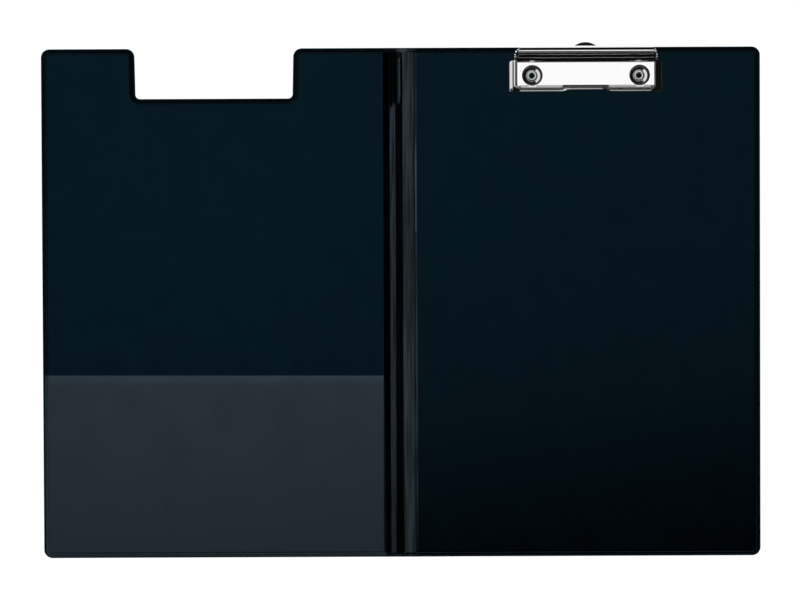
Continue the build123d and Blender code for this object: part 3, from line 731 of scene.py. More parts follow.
def jaw_profiles(jaw):
    """Side and front section of the jaw, with as many points each."""
    side_facet = -jaw.side_bend - 0.2 * MM, -jaw.side_bend, math.radians(0.4)
    side_flange = (
        jaw.flange_tilt, jaw.hollow_from, jaw.hollow_to, jaw.hollow_tilt, jaw.flange_roll, jaw.rim_tilt,
    )
    side = jaw_section(
        jaw.height, side_facet, jaw.side_bend, jaw.side_slant, jaw.side_foot, jaw.side_fillet,
        side_flange, CLIP_HALF - jaw.half,
    )
    front_facet = -jaw.facet, -0.4 * MM, jaw.facet_tilt
    front_flange = jaw.facet_tilt, 1.1 * MM, 1.4 * MM, jaw.facet_tilt, 0.12 * MM, math.radians(70)
    front = jaw_section(
        jaw.height, front_facet, jaw.front_bend, jaw.front_slant, jaw.front_foot, jaw.front_fillet,
        front_flange, jaw.toe_reach,
    )
    return side, front


def jaw_band(jaw, y_rear):
    """Bend, walls and flange of the jaw along its left side, front and right side.

    A point is the corner line plus (plan corner radius + reach) times the outward direction, with the reach
    of the side section along X and of the front section along Y. Out on the flange the direction is divided
    by its larger part, which squares the rim's corners. The height passes from one section to the other
    with the square of the direction. Over the arch the front wall steps back and its foot rises.
    """
    side, front = jaw_profiles(jaw)
    inner = jaw.half - jaw.plan_corner
    y_corner = -jaw.front + jaw.plan_corner
    side_count, corner_count, front_count = 13, 17, 148
    side_y = np.linspace(-y_rear, y_corner, side_count + 1)
    front_x = np.linspace(-inner, inner, front_count + 2)
    turn = np.radians(np.linspace(180, 270, corner_count))
    centres = np.concatenate((
        np.stack((np.full(side_count, -inner), side_y[:-1]), axis=-1),
        np.tile((-inner, y_corner), (corner_count, 1)),
        np.stack((front_x[1:-1], np.full(front_count, y_corner)), axis=-1),
        np.tile((inner, y_corner), (corner_count, 1)),
        np.stack((np.full(side_count, inner), side_y[-2::-1]), axis=-1),
    ))
    ways = np.concatenate((
        np.tile((-1.0, 0.0), (side_count, 1)),
        np.stack((np.cos(turn), np.sin(turn)), axis=-1),
        np.tile((0.0, -1.0), (front_count, 1)),
        np.stack((-np.cos(turn[::-1]), np.sin(turn[::-1])), axis=-1),
        np.tile((1.0, 0.0), (side_count, 1)),
    ))
    share = ways[:, None, :] ** 2
    height = share[..., 0] * side[None, :, 1] + share[..., 1] * front[None, :, 1]
    squareness = 0.92 * smooth(0.2 * MM, 2.6 * MM, side[:, 0])[None, :, None]
    larger = np.abs(ways).max(axis=1)[:, None, None]
    square = ways[:, None, :] / larger**squareness
    x = centres[:, None, 0] + jaw.plan_corner * square[..., 0] + side[None, :, 0] * square[..., 0]
    y = centres[:, None, 1] + jaw.plan_corner * square[..., 1] + front[None, :, 0] * square[..., 1]
    arch_ease = 5 * MM
    arch = (1 - smooth(jaw.arch_half - arch_ease, jaw.arch_half, np.abs(x))) * (y < y_corner)
    low = 1 - smooth(jaw.front_foot + 0.3 * MM, jaw.height - 2.5 * MM, height)
    height = height + jaw.arch_rise * arch * low
    y = y + jaw.arch_depth * arch * smooth(-1.9 * MM, -0.4 * MM, front[None, :, 0])
    return np.stack((x, y, height), axis=-1)


def plate_rear(jaw):
    """From the top edge to the rear edge of the plate, where the bend of the press slope starts."""
    return jaw.rear + jaw.slope_bend * math.tan(jaw.slope_tilt / 2)


def lever_line(jaw):
    """Line of the lever from the rear edge of the plate, as (y, z), and the number of points in its foot.

    It is a hollow bend, the slope with closer points over its ribs, a rounder bend with a short straight
    bead in it, and the flat lip.
    """
    tilt, bend = jaw.slope_tilt, jaw.lip_bend
    hollow = arc((0, 0), (1, 1), -90, -90 + math.degrees(tilt), 9) * jaw.slope_bend
    hollow = hollow + (-plate_rear(jaw), jaw.height + jaw.slope_bend)
    way = np.array((math.cos(tilt), math.sin(tilt)))
    bead = jaw.bead * np.array((math.cos(jaw.bead_tilt), math.sin(jaw.bead_tilt)))
    lip_drop = bend * (1 - math.cos(tilt)) + bead[1]
    slope_length = (jaw.lip_height - lip_drop - hollow[-1, 1]) / way[1]
    near = np.linspace(-0.4, 0.4, 19) * MM
    steps = np.concatenate((np.linspace(0, slope_length, 20), jaw.rib_low + near, jaw.rib_high + near))
    steps = np.unique(steps[steps <= slope_length])[1:]
    slope = hollow[-1] + steps[:, None] * way
    centre = slope[-1] + bend * np.array((way[1], -way[0]))
    turns = 90 + math.degrees(tilt), 90 + math.degrees(jaw.bead_tilt), 90
    crest = np.concatenate((
        arc(centre, (bend, bend), turns[0], turns[1], 8)[1:],
        arc(centre + bead, (bend, bend), turns[1], turns[2], 12),
    ))
    lip_length = -jaw.lip_end - crest[-1, 0]
    lip = crest[-1] + np.linspace(0, 1, 12)[1:, None] * np.array((lip_length, 0.0))
    return np.concatenate((hollow, slope, crest, lip)), len(hollow)


def cheek_depth(jaw, line, inward, run):
    """Depth of the cheeks under each point of the lever's line.

    It is where a ray into the sheet leaves the disc round the rod, or a taper towards the lip if that is
    deeper.
    """
    pivot = np.array((PIVOT[1] - Y_TOP, PIVOT[2] - Z_FACE))
    to_pivot = pivot - line
    along = np.sum(to_pivot * inward, axis=1)
    off = np.sum(to_pivot**2, axis=1) - along**2
    inside = np.clip(jaw.ear**2 - off, 0, None)
    disc = np.where(inside > 0, along + np.sqrt(inside), 0)
    deepest, bare_lip, taper_room = 5.2 * MM, 3.2 * MM, 6 * MM
    taper = deepest * np.clip((run[-1] - run - bare_lip) / (run[-1] - taper_room), 0, 1)
    return np.maximum(disc, taper)


def jaw_lever(jaw):
    """Press slope, lip and ears of the jaw, from the rear edge of the plate.

    Across the lever's line lies the bent section of the plate's side, turned to stand square on it, so the
    ears grow out of it. They lean outward with their depth. The two ribs are Gaussian ridges across the
    slope, and the lip's corners are quarter ellipses.
    """
    line, foot_points = lever_line(jaw)
    tangent = np.gradient(line, axis=0)
    tangent[0] = (1, 0)
    tangent[-1] = (1, 0)
    tangent /= np.linalg.norm(tangent, axis=1, keepdims=True)
    inward = np.stack((tangent[:, 1], -tangent[:, 0]), axis=-1)
    run = np.concatenate(([0], np.cumsum(np.linalg.norm(np.diff(line, axis=0), axis=1))))
    foot = run[foot_points - 1]
    rib_width = 0.13 * MM
    ribs = sum(np.exp(-(((run - foot - place) / rib_width) ** 2)) for place in (jaw.rib_low, jaw.rib_high))
    to_end = run[-1] - run
    curl = np.clip(1 - to_end / jaw.lip_corner_run, 0, 1)
    drawn = jaw.lip_corner * (1 - np.sqrt(1 - curl**2))
    depth = cheek_depth(jaw, line, inward, run)
    side = jaw_profiles(jaw)[0][:BEND_COLUMNS]
    reach = side[:, 0]
    sink = jaw.height - side[:, 1]
    scale = smooth(0.6 * MM, 3.4 * MM, to_end)[:, None]
    slope_inset, lip_inset, least_wall = 0.4 * MM, 0.9 * MM, 0.15 * MM
    half_flat = (jaw.half - drawn - slope_inset * smooth(4 * MM, 8 * MM, run))[:, None]
    bend_x = half_flat + reach[None, :] - lip_inset * (1 - scale)
    bend_sink = sink[None, :] * scale
    wall = np.linspace(0, 1, CHEEK_COLUMNS + 1)[None, 1:]
    wall_depth = np.clip(depth[:, None] - bend_sink[:, -1:], least_wall, None) * wall
    flare = jaw.cheek_flare * smooth(0, 2 * MM, run)[:, None] * scale
    wall_x = bend_x[:, -1:] + flare * wall_depth * (1 - 0.5 * wall)
    wall_sink = bend_sink[:, -1:] + wall_depth
    across = np.concatenate((bend_x, wall_x), axis=1)
    down = np.concatenate((bend_sink, wall_sink), axis=1)
    middle = np.linspace(-1, 1, 41)[None, 1:-1] * bend_x[:, :1]
    x = np.concatenate((-across[:, ::-1], middle, across), axis=1)
    sunk = np.concatenate((down[:, ::-1], np.zeros_like(middle), down), axis=1)
    sunk = sunk - jaw.rib * ribs[:, None] * smooth(jaw.half - 2 * MM, jaw.half - 4 * MM, np.abs(x))
    y = line[:, None, 0] + sunk * inward[:, None, 0]
    z = line[:, None, 1] + sunk * inward[:, None, 1]
    return np.stack((x, y, z), axis=-1)


def weld_points(work):
    """Joins points that lie on one another."""
    distance = 0.004 * MM
    bmesh.ops.remove_doubles(work, verts=work.verts, dist=distance)
    bmesh.ops.dissolve_degenerate(work, edges=work.edges, dist=distance / 4)


def apply_modifiers(piece):
    """Replaces the mesh of a piece by the one that its modifiers give."""
    graph = bpy.context.evaluated_depsgraph_get()
    made = bpy.data.meshes.new_from_object(piece.evaluated_get(graph))
    piece.modifiers.clear()
    piece.data = made


def cut_away(piece, cutter):
    """Takes the cutter out of the piece."""
    cut = piece.modifiers.new("cut", "BOOLEAN")
    cut.operation = "DIFFERENCE"
    cut.solver = "EXACT"
    cut.object = cutter
    apply_modifiers(piece)
    bpy.data.objects.remove(cutter)


def round_bars(name, bars, segments):
    """Closed round bars, each from (start, end, radius).

    A ring's points are the end plus the radius times two directions square to the bar.
    """
    points, faces = [], []
    turn = np.linspace(0, 2 * math.pi, segments, endpoint=False)
    for start, end, radius in bars:
        start, end = np.array(start), np.array(end)
        axis = (end - start) / np.linalg.norm(end - start)
        side = np.cross(axis, (1, 0, 0))
        side = side / np.linalg.norm(side)
        other = np.cross(axis, side)
        ring = np.cos(turn)[:, None] * side + np.sin(turn)[:, None] * other
        faces += ring_faces(2, segments, len(points) * segments)
        points += [start + radius * ring, end + radius * ring]
    return new_piece(name, np.concatenate(points), faces)


def make_jaw_mesh():
    """Jaw as one bent sheet, open below: band, lever, flat plate, and a flange behind each side's end.

    A flange behind the band is the band's end carried back along Y in even steps, and less far towards its
    rim, by the square of the way out along the flange.
    """
    jaw = bpy.context.scene.folder_jaw
    start_y = plate_rear(jaw)
    band = jaw_band(jaw, start_y)
    lever = jaw_lever(jaw)
    count = band.shape[0] * band.shape[1]
    columns = lever.shape[1]
    plate_ring = list(range(0, count, band.shape[1]))
    flat_from = BEND_COLUMNS + CHEEK_COLUMNS
    rear_edge = [count + j for j in range(flat_from, columns - flat_from)]
    faces = quads(*band.shape[:2]) + quads(*lever.shape[:2], first=count)
    faces.append(plate_ring + rear_edge[::-1])
    points = [band.reshape(-1, 3), lever.reshape(-1, 3)]
    total = count + lever.shape[0] * columns
    stretch = np.linspace(0, 1, 6)[:, None]
    flange_inner, rim_back = 2.6 * MM, 1.7 * MM
    for end in (0, -1):
        column = band[end, BEND_COLUMNS + 1:]
        patch = column[None] + stretch[..., None] * np.array((0, start_y - jaw.flange_rear, 0))
        out = (np.abs(column[:, 0]) - jaw.half - flange_inner) / (CLIP_HALF - jaw.half - flange_inner)
        patch[..., 1] -= stretch * np.clip(out, 0, 1)[None] ** 2 * rim_back
        points.append(patch.reshape(-1, 3))
        faces += quads(*patch.shape[:2], first=total)
        total += patch.shape[0] * patch.shape[1]
    piece = new_piece("clip_jaw_sheet", np.concatenate(points) + CLIP_ORIGIN, faces)
    remake(piece.data, weld_points)
    return piece


class FOLDER_OT_covers(bpy.types.Operator):
    """Make the inner and outer skins of both covers"""

    bl_idname = "folder.covers"
    bl_label = "Cover skins"

    def execute(self, context):
        film = film_finish()
        for cover in ("front", "back"):
            inner, outer = make_cover_skins(cover)
            finish_piece(inner, cover + "_cover", film, "cover_film", cover + "_inner_film")
            finish_piece(outer, cover + "_cover", film, "cover_film", cover + "_outer_film")
        return {"FINISHED"}


class FOLDER_OT_spine(bpy.types.Operator):
    """Make the spine film, its core and the two creases"""

    bl_idname = "folder.spine"
    bl_label = "Spine and creases"

    def execute(self, context):
        sizes = context.scene.folder_spine
        film = context.scene.folder_film
        x_front = HINGE_X["front_hinge"]
        x_back = HINGE_X["back_hinge"]
        gap = film.hinge_gap
        x_loose = x_back - sizes.loose_start
        x_board = x_back + sizes.board_start
        crease = crease_finish()
        edge = spine_strip("front_edge_skin", x_front - sizes.front_edge, x_front - gap, 20, film.film)
        finish_piece(edge, "front_cover", film_finish(), "cover_film", "front_inner_film")
        mid = spine_strip("spine_inner_skin", x_front + gap, x_loose, sizes.columns, film.film)
        finish_piece(mid, "spine", crease, "cover_film", "spine_inner_film")
        finish_piece(make_core(), "spine", board_finish(), "grey_board", "spine_strip")
        outer = flat_strip("spine_outer_skin", x_front + gap, x_back - gap, film.outer_film, 0)
        finish_piece(outer, "spine", film_finish(), "cover_film", "spine_outer_film")
        front = spine_strip("front_crease_skin", x_front - gap, x_front + gap, 9, film.film)
        press_down(front, 0.15 * MM)
        front.data.materials.append(crease)
        dress(front, "crease_film", "front_crease_film")
        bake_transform(front)
        loose = spine_strip("back_crease_skin", x_loose, x_board, sizes.columns, film.film)
        loose.data.materials.append(crease)
        dress(loose, "crease_film", "back_crease_film")
        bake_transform(loose)
        line = flat_strip("back_crease_outer_skin", x_back - gap, x_back + gap, film.outer_film, 0.12 * MM)
        line.data.materials.append(crease)
        dress(line, "crease_film", "back_crease_film")
        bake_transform(line)
        return {"FINISHED"}


class FOLDER_OT_pocket(bpy.types.Operator):
    """Make the matt pocket on the front cover"""

    bl_idname = "folder.pocket"
    bl_label = "Pocket"

    def execute(self, context):
        sizes = context.scene.folder_pocket
        film = context.scene.folder_film
        spine = context.scene.folder_spine
        x_left = FRONT_LOW.x
        x_right = HINGE_X["front_hinge"] - sizes.from_hinge
        y_mouth = Y_BOTTOM + sizes.height
        corner = film.corner
        outline = bent_line([
            (x_left, y_mouth + sizes.slant, (1, 0), (0, 0)),
            (x_left + corner, Y_BOTTOM + corner, corner, 180, 90),
            (x_right, Y_BOTTOM, (0, 1), (-1, 0)),
            (x_right, y_mouth - sizes.slant, (0, 0), (-1, 0)),
        ])
        profile = pocket_profile(sizes, film)
        edge = spine.front_edge - FRONT_BEND
        fall = (Z_FACE - spine.groove_height) / (edge + spine.groove_place)
        at_edge = Z_FACE - fall * (edge - sizes.from_hinge)
        raised = np.clip(profile[:, 1] - at_edge, 0, None)
        insets = raised / fall + np.clip(profile[:, 0] - film.rim - 0.2 * MM, 0, None)
        piece = outline_skin("pocket_skin", outline, profile, insets)
        roll_mouth(piece, y_mouth, sizes)
        finish_piece(piece, "front_cover", pocket_finish(), "pocket_film", "front_pocket")
        return {"FINISHED"}


def pocket_profile(sizes, film):
    """Section of the pocket: the cover's upper side raised by the film, and back a hair over the cover.

    Above the weld the film also stands out a little.
    """
    weld = film.outer_film + film.film
    keep = cover_top()
    over = keep + (0, sizes.film)
    over[:, 0] -= np.where(keep[:, 1] > weld + 0.1 * MM, 0.8 * sizes.film, 0)
    return np.concatenate((over, keep[::-1] + (0, 0.01 * MM)))


def roll_mouth(piece, y_mouth, sizes):
    """Rolls the pocket's film down at its mouth: the drop grows with the square of the way there."""
    def cut(work):
        for step in np.linspace(0.15, 1, 6):
            parts = work.verts[:] + work.edges[:] + work.faces[:]
            place = (0, y_mouth - sizes.slant - step * sizes.roll_length, 0)
            bmesh.ops.bisect_plane(work, geom=parts, plane_co=place, plane_no=(0, 1, 0))

    remake(piece.data, cut)
    points = points_of(piece)
    way = np.clip(1 - (y_mouth - points[:, 1]) / sizes.roll_length, 0, 1)
    points[:, 2] -= sizes.mouth_roll * way**2 * (points[:, 2] > Z_FACE - 0.5 * MM)
    place_points(piece, points)
    shade(piece, 35)


class FOLDER_OT_jaw(bpy.types.Operator):
    """Make the clip's jaw"""

    bl_idname = "folder.jaw"
    bl_label = "Clip jaw"

    def execute(self, context):
        jaw = context.scene.folder_jaw
        piece = make_jaw_mesh()
        wall = piece.modifiers.new("wall", "SOLIDIFY")
        wall.thickness = jaw.sheet
        wall.offset = -1
        wall.use_even_offset = True
        apply_modifiers(piece)
        bars = []
        for side in (-1, 1):
            x, y, z = CLIP_ORIGIN + (side * jaw.rivet_half, -jaw.rivet_y, 0)
            bars.append(((x, y, z + 2.4 * MM), (x, y, z + 12 * MM), jaw.hole / 2))
        cut_away(piece, round_bars("hole_cutter", bars, 96))
        soften = piece.modifiers.new("soften", "BEVEL")
        soften.width = 0.08 * MM
        soften.segments = 2
        soften.angle_limit = math.radians(50)
        apply_modifiers(piece)
        shade(piece, 40)
        even = piece.modifiers.new("even", "WEIGHTED_NORMAL")
        even.keep_sharp = True
        apply_modifiers(piece)
        finish_piece(piece, "jaw", bright_finish(), "clip_steel", "clip_jaw")
        return {"FINISHED"}


def tube(name, path, radius, around=16):
    """Round wire along a path: ring points are the path plus radius times two directions square to it."""
    way = np.gradient(path, axis=0)
    way /= np.linalg.norm(way, axis=1, keepdims=True)
    side = np.array((1.0, 0, 0)) - way[:, :1] * way
    side /= np.linalg.norm(side, axis=1, keepdims=True)
    other = np.cross(way, side)
    turn = np.linspace(0, 2 * math.pi, around, endpoint=False)[None, :, None]
    rings = path[:, None] + radius * (np.cos(turn) * side[:, None] + np.sin(turn) * other[:, None])
    end_inset = way * radius * 0.35
    first = path[0] - end_inset[0] + 0.7 * (rings[0] - path[0])
    last = path[-1] + end_inset[-1] + 0.7 * (rings[-1] - path[-1])
    return ringed(name, np.concatenate((first[None], rings, last[None])), 60)


def spring_line(small, jaw):
    """Middle of the right spring's wire: a lower arm, a helix round the rod and an upper arm."""
    tilt = jaw.slope_tilt
    pivot_y, pivot_z = PIVOT[1] - Y_TOP, PIVOT[2] - Z_FACE
    behind, below = pivot_y + jaw.rear, jaw.height - pivot_z
    to_slope = behind * math.sin(tilt) + below * math.cos(tilt) - jaw.sheet
    slack = to_slope - small.coil - small.wire / 2 - small.seat_gap
    lean = math.asin(slack / small.arm)
    first = 1.5 * math.pi - small.arm_angle
    last = math.atan2(math.cos(tilt), -math.sin(tilt)) + lean - 2 * math.pi * small.turns
    drop = pivot_z + small.coil * math.sin(first) - small.base_sheet - small.wire / 2 - small.seat_gap
    lower_arm = drop / math.sin(small.arm_angle)
    sweep = first - last
    turned = np.linspace(0, sweep, 40 * small.turns)
    rise = small.pitch / (2 * math.pi)
    turn = first - turned
    helix = np.stack((
        small.coil_start + rise * (sweep - turned),
        pivot_y + small.coil * np.cos(turn),
        pivot_z + small.coil * np.sin(turn),
    ), axis=-1)
    start_way = helix[1] - helix[0]
    end_way = helix[-1] - helix[-2]
    start_way /= np.linalg.norm(start_way)
    end_way /= np.linalg.norm(end_way)
    lower = helix[0] - np.linspace(lower_arm, 0, 12, endpoint=False)[:, None] * start_way
    upper = helix[-1] + np.linspace(0, small.arm, 13)[1:, None] * end_way
    return np.concatenate((lower, helix, upper))


class FOLDER_OT_springs(bpy.types.Operator):
    """Make the two torsion springs"""

    bl_idname = "folder.springs"
    bl_label = "Springs"

    def execute(self, context):
        small = context.scene.folder_small
        path = spring_line(small, context.scene.folder_jaw)
        finish = spring_finish()
        for side, name in ((-1, "left_spring"), (1, "right_spring")):
            line = path * (side, 1, 1) + CLIP_ORIGIN
            wire = tube(name + "_wire", line, small.wire / 2)
            wire.data.materials.append(finish)
            dress(wire, "spring_steel", name)
            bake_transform(wire)
        return {"FINISHED"}


def lathe(name, section, places, around=64):
    """Ring turned from a closed section of (radius, height) round an upright axis at each place."""
    turn = np.linspace(0, 2 * math.pi, around, endpoint=False)
    points, faces = [], []
    rows = len(section)
    for number, place in enumerate(places):
        x = section[:, :1] * np.cos(turn)
        y = section[:, :1] * np.sin(turn)
        z = np.broadcast_to(section[:, 1:], x.shape)
        points.append((np.stack((x, y, z), axis=-1) + place).reshape(-1, 3))
        faces += quads(rows, around, number * rows * around, close_rows=True, close_columns=True)
    return new_piece(name, np.concatenate(points), faces, 40)


def rivet_section(small):
    """Section of a rivet, as (radius, height over the cover), from its bore over the head to the clinch.

    The mouth of the bore, the head's rim and the clinched rim are arcs.
    """
    base = small.base_sheet
    head = base + 0.9 * MM
    end = 0.05 * MM - Z_FACE
    washer = 0.5 * MM - Z_FACE
    mouth, mouth_drop, brim, clinch_edge = 0.95 * MM, 0.8 * MM, 0.75 * MM, 0.2 * MM
    clinched = (small.clinch - clinch_edge, washer - clinch_edge)
    return np.concatenate((
        np.array([(small.bore, washer + 0.3 * MM), (small.bore, base + 0.1 * MM)]),
        arc((small.bore + mouth, head - mouth_drop), (mouth, mouth_drop), 170, 90, 9),
        arc((small.head - brim, head - brim), (brim, brim), 78, 0, 9),
        np.array([(small.head, base), (small.shank, base), (small.shank, washer)]),
        arc(clinched, (clinch_edge, clinch_edge), 90, -90, 7),
        np.array([(small.bore + 0.4 * MM, end), (small.bore + 0.05 * MM, end + 0.25 * MM)]),
    ))


class FOLDER_OT_hardware(bpy.types.Operator):
    """Make the rivets and finish the base, rod, washers and boards"""

    bl_idname = "folder.hardware"
    bl_label = "Rivets, base and rod"

    def execute(self, context):
        small = context.scene.folder_small
        jaw = context.scene.folder_jaw
        places = [CLIP_ORIGIN + (side * jaw.rivet_half, -jaw.rivet_y, 0) for side in (-1, 1)]
        rivets = lathe("rivet_tubes", rivet_section(small), places)
        finish_piece(rivets, "back_cover", rivet_finish(), "rivet_steel", "rivets")
        for node, material in (
            ("clip_base", base_finish()),
            ("pivot_rod", rivet_finish()),
            ("rivet_washers", rivet_finish()),
            ("front_board", board_finish()),
            ("back_board", board_finish()),
        ):
            shown = frame["nodes"][node]
            shown.data.materials.clear()
            shown.data.materials.append(material)
        return {"FINISHED"}


def make_tongue_mesh(small, low, high):
    """Tongue of the hanging tab: a half circle on straight sides, with a lug at each side of its foot.

    Each ring is the outline moved inward by an inset at its own height, along a quarter circle at the lower
    and at the upper edge.
    """
    half = small.tab_half
    lug = half + small.tab_lug
    lug_y = low.y + small.tab_lug_length
    turn = np.radians(np.linspace(0, 180, 49))
    outward = np.stack((np.cos(turn), np.sin(turn)), axis=-1)
    round_end = np.stack((X_CLIP + half * np.cos(turn), high.y - half + half * np.sin(turn)), axis=-1)
    foot = np.array([
        (X_CLIP - half, lug_y),
        (X_CLIP - lug, lug_y),
        (X_CLIP - lug, low.y),
        (X_CLIP + lug, low.y),
        (X_CLIP + lug, lug_y),
        (X_CLIP + half, lug_y),
    ])
    foot_inward = np.array([(1, -1), (1, -1), (1, 1), (-1, 1), (-1, -1), (-1, -1)])
    quarter = np.radians(np.linspace(0, 90, 5))
    inset = small.tab_edge * (1 - np.cos(quarter))
    rise = small.tab_edge * (1 - np.sin(quarter))
    shrink = np.concatenate((inset[::-1], inset))
    heights = np.concatenate((low.z + rise[::-1], high.z - rise))
    outline = np.concatenate((round_end, foot))
    plan = outline + shrink[:, None, None] * np.concatenate((-outward, foot_inward))
    return ringed("hanging_tab_tongue", lifted(plan, heights))


class FOLDER_OT_tab(bpy.types.Operator):
    """Make the hanging tab"""

    bl_idname = "folder.tab"
    bl_label = "Hanging tab"

    def execute(self, context):
        small = context.scene.folder_small
        low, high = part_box("hanging_tab")
        piece = make_tongue_mesh(small, low, high)
        hole = (X_CLIP, high.y - small.tab_hole_place)
        bar = ((*hole, low.z - 1 * MM), (*hole, high.z + 1 * MM), small.tab_hole)
        cut_away(piece, round_bars("tab_cutter", [bar], 64))
        shade(piece, 35)
        finish_piece(piece, "tab", tab_finish(), "tab_plastic", "hanging_tab")
        return {"FINISHED"}


def nodes_of(material):
    """Cleared node tree with a principled shader, and the link to the object coordinates."""
    material.use_nodes = True
    tree = material.node_tree
    tree.nodes.clear()
    output = tree.nodes.new("ShaderNodeOutputMaterial")
    shader = tree.nodes.new("ShaderNodeBsdfPrincipled")
    tree.links.new(shader.outputs["BSDF"], output.inputs["Surface"])
    place = tree.nodes.new("ShaderNodeTexCoord")
    return tree, shader, place.outputs["Object"]


def finish(name):
    """Turns a function that fills a node tree into one that makes the material of this name once."""
    def wrap(fill):
        def made():
            found = bpy.data.materials.get(name)
            if found is None:
                found = bpy.data.materials.new(name)
                fill(*nodes_of(found), bpy.context.scene.folder_finish)
            return found
        return made
    return wrap


def noise(tree, place, scale, detail=3.0, stretch=(1, 1, 1)):
    """Noise on object coordinates, stretched by a mapping."""
    mapping = tree.nodes.new("ShaderNodeMapping")
    mapping.inputs["Scale"].default_value = stretch
    tree.links.new(place, mapping.inputs["Vector"])
    texture = tree.nodes.new("ShaderNodeTexNoise")
    texture.inputs["Scale"].default_value = scale
    texture.inputs["Detail"].default_value = detail
    tree.links.new(mapping.outputs["Vector"], texture.inputs["Vector"])
    return texture.outputs["Fac"]


def step_node(tree, value, from_low, from_high, low=0.0, high=1.0, kind="SMOOTHSTEP"):
    """Link carried from one range to another, as a smooth step unless another kind is given."""
    node = tree.nodes.new("ShaderNodeMapRange")
    node.interpolation_type = kind
    for name, limit in zip(("From Min", "From Max", "To Min", "To Max"), (from_low, from_high, low, high)):
        node.inputs[name].default_value = limit
    tree.links.new(value, node.inputs["Value"])
    return node.outputs["Result"]


def between(tree, value, low, high, from_low=0.3, from_high=0.7):
    """Link carried evenly from one range to another."""
    return step_node(tree, value, from_low, from_high, low, high, "LINEAR")


def math_node(tree, operation, first, second=None, clamp=False):
    """Math on two values or links."""
    node = tree.nodes.new("ShaderNodeMath")
    node.operation = operation
    node.use_clamp = clamp
    for socket, value in zip(node.inputs, (first, second)):
        if value is None:
            continue
        if isinstance(value, bpy.types.NodeSocket):
            tree.links.new(value, socket)
        else:
            socket.default_value = value
    return node.outputs["Value"]


def product(tree, first, *others):
    """Product of values and links."""
    for other in others:
        first = math_node(tree, "MULTIPLY", first, other)
    return first


def steps(tree, *ranges):
    """Product of smooth steps, each given as the link and the ranges of step_node."""
    return product(tree, *(step_node(tree, *limits) for limits in ranges))


def parts_of(tree, vector):
    """The three parts of a vector."""
    split = tree.nodes.new("ShaderNodeSeparateXYZ")
    tree.links.new(vector, split.inputs["Vector"])
    return tuple(split.outputs)


def tint(tree, shader, pattern, tone, spread):
    """Base colour that a pattern makes darker and lighter by a share."""
    node = tree.nodes.new("ShaderNodeMix")
    node.data_type = "RGBA"
    for socket, sign in (("A", -1), ("B", 1)):
        node.inputs[socket].default_value = (*(part * (1 + sign * spread) for part in tone), 1)
    tree.links.new(pattern, node.inputs["Factor"])
    tree.links.new(node.outputs["Result"], shader.inputs["Base Color"])


def roughen(tree, shader, pattern, low, high):
    """Roughness that a pattern carries from one level to another."""
    tree.links.new(between(tree, pattern, low, high), shader.inputs["Roughness"])


def reflect(shader, index, tone=(1, 1, 1)):
    """Index of refraction and tint of the reflection at right angles."""
    shader.inputs["IOR"].default_value = index
    shader.inputs["Specular Tint"].default_value = (*tone, 1)


def bump(tree, shader, height, depth):
    """Bump of a real depth in metres."""
    node = tree.nodes.new("ShaderNodeBump")
    node.inputs["Distance"].default_value = depth
    tree.links.new(height, node.inputs["Height"])
    tree.links.new(node.outputs["Normal"], shader.inputs["Normal"])


@finish("cover film")
def film_finish(tree, shader, place, look):
    """Black vinyl film with a soft sheen and a faint orange peel."""
    cloud = noise(tree, place, scale=60)
    tint(tree, shader, cloud, look.film, spread=0.12)
    roughen(tree, shader, cloud, look.film_gloss - 0.02, look.film_gloss + 0.03)
    reflect(shader, look.film_index, look.film_sheen)
    bump(tree, shader, noise(tree, place, scale=1500, detail=2), depth=0.004 * MM)


@finish("crease film")
def crease_finish(tree, shader, place, look):
    """Film along the spine, with streaks along it and a painted highlight along one long crease.

    Its gloss is a product: the streaks, a step that makes it duller towards the back cover, soft patches,
    and a painted shade near the top edge, from the front cover to beyond the ridge, where the film is made
    least glossy. A painted highlight along one long crease is added to it, inside steps on all four sides.
    """
    streak = noise(tree, place, scale=900, detail=4, stretch=(1, 0.03, 1))
    tint(tree, shader, streak, look.crease, spread=0.25)
    roughen(tree, shader, streak, look.film_gloss - 0.02, look.film_gloss + 0.03)
    reflect(shader, 1.5, (0.6, 0.85, 1.0))
    bump(tree, shader, streak, depth=0.004 * MM)
    across, along, _ = parts_of(tree, place)
    patch = noise(tree, place, scale=90, detail=2, stretch=(1, 0.1, 1))
    # Painted shade: the film reflects less near the top edge, from the front cover to beyond the ridge
    painted_shade = steps(
        tree,
        (across, -2.5 * MM, -2.9 * MM, 0.0, 0.85),
        (along, 126 * MM, 130 * MM),
    )
    # Painted highlight: a strip of extra reflection that stands for one long crease in the film
    crease = steps(
        tree,
        (across, 9.0 * MM, 9.3 * MM),
        (across, 10.2 * MM, 9.9 * MM),
        (along, 44 * MM, 46 * MM),
        (along, 114 * MM, 98 * MM),
    )
    gloss = product(
        tree,
        between(tree, streak, 0.25, 0.72, 0.36, 0.64),
        step_node(tree, across, 4 * MM, 10 * MM, 1.0, 0.66),
        between(tree, patch, 0.65, 1.3, 0.36, 0.64),
        math_node(tree, "SUBTRACT", 1.0, painted_shade),
    )
    # The painted highlight of the crease is added on top of the gloss
    gloss = math_node(tree, "ADD", gloss, product(tree, crease, 0.5))
    tree.links.new(gloss, shader.inputs["Specular IOR Level"])


@finish("pocket film")
def pocket_finish(tree, shader, place, look):
    """Matt frosted film of the pocket."""
    cloud = noise(tree, place, scale=35)
    tint(tree, shader, cloud, look.pocket, spread=0.08)
    roughen(tree, shader, cloud, look.pocket_gloss - 0.03, look.pocket_gloss + 0.03)
    reflect(shader, 1.6, (0.60, 0.80, 1.0))
    bump(tree, shader, noise(tree, place, scale=4000, detail=2), depth=0.006 * MM)


def metal(tree, shader, place, tone, rough, scratch, spread):
    """Metal with brushed variation in its gloss and a faint surface wave."""
    shader.inputs["Metallic"].default_value = 1.0
    tint(tree, shader, noise(tree, place, scale=220), tone, spread)
    lines = noise(tree, place, scale=1400, stretch=(0.06, 1, 1))
    roughen(tree, shader, lines, rough * 0.8, rough * 1.25)
    bump(tree, shader, lines, scratch)


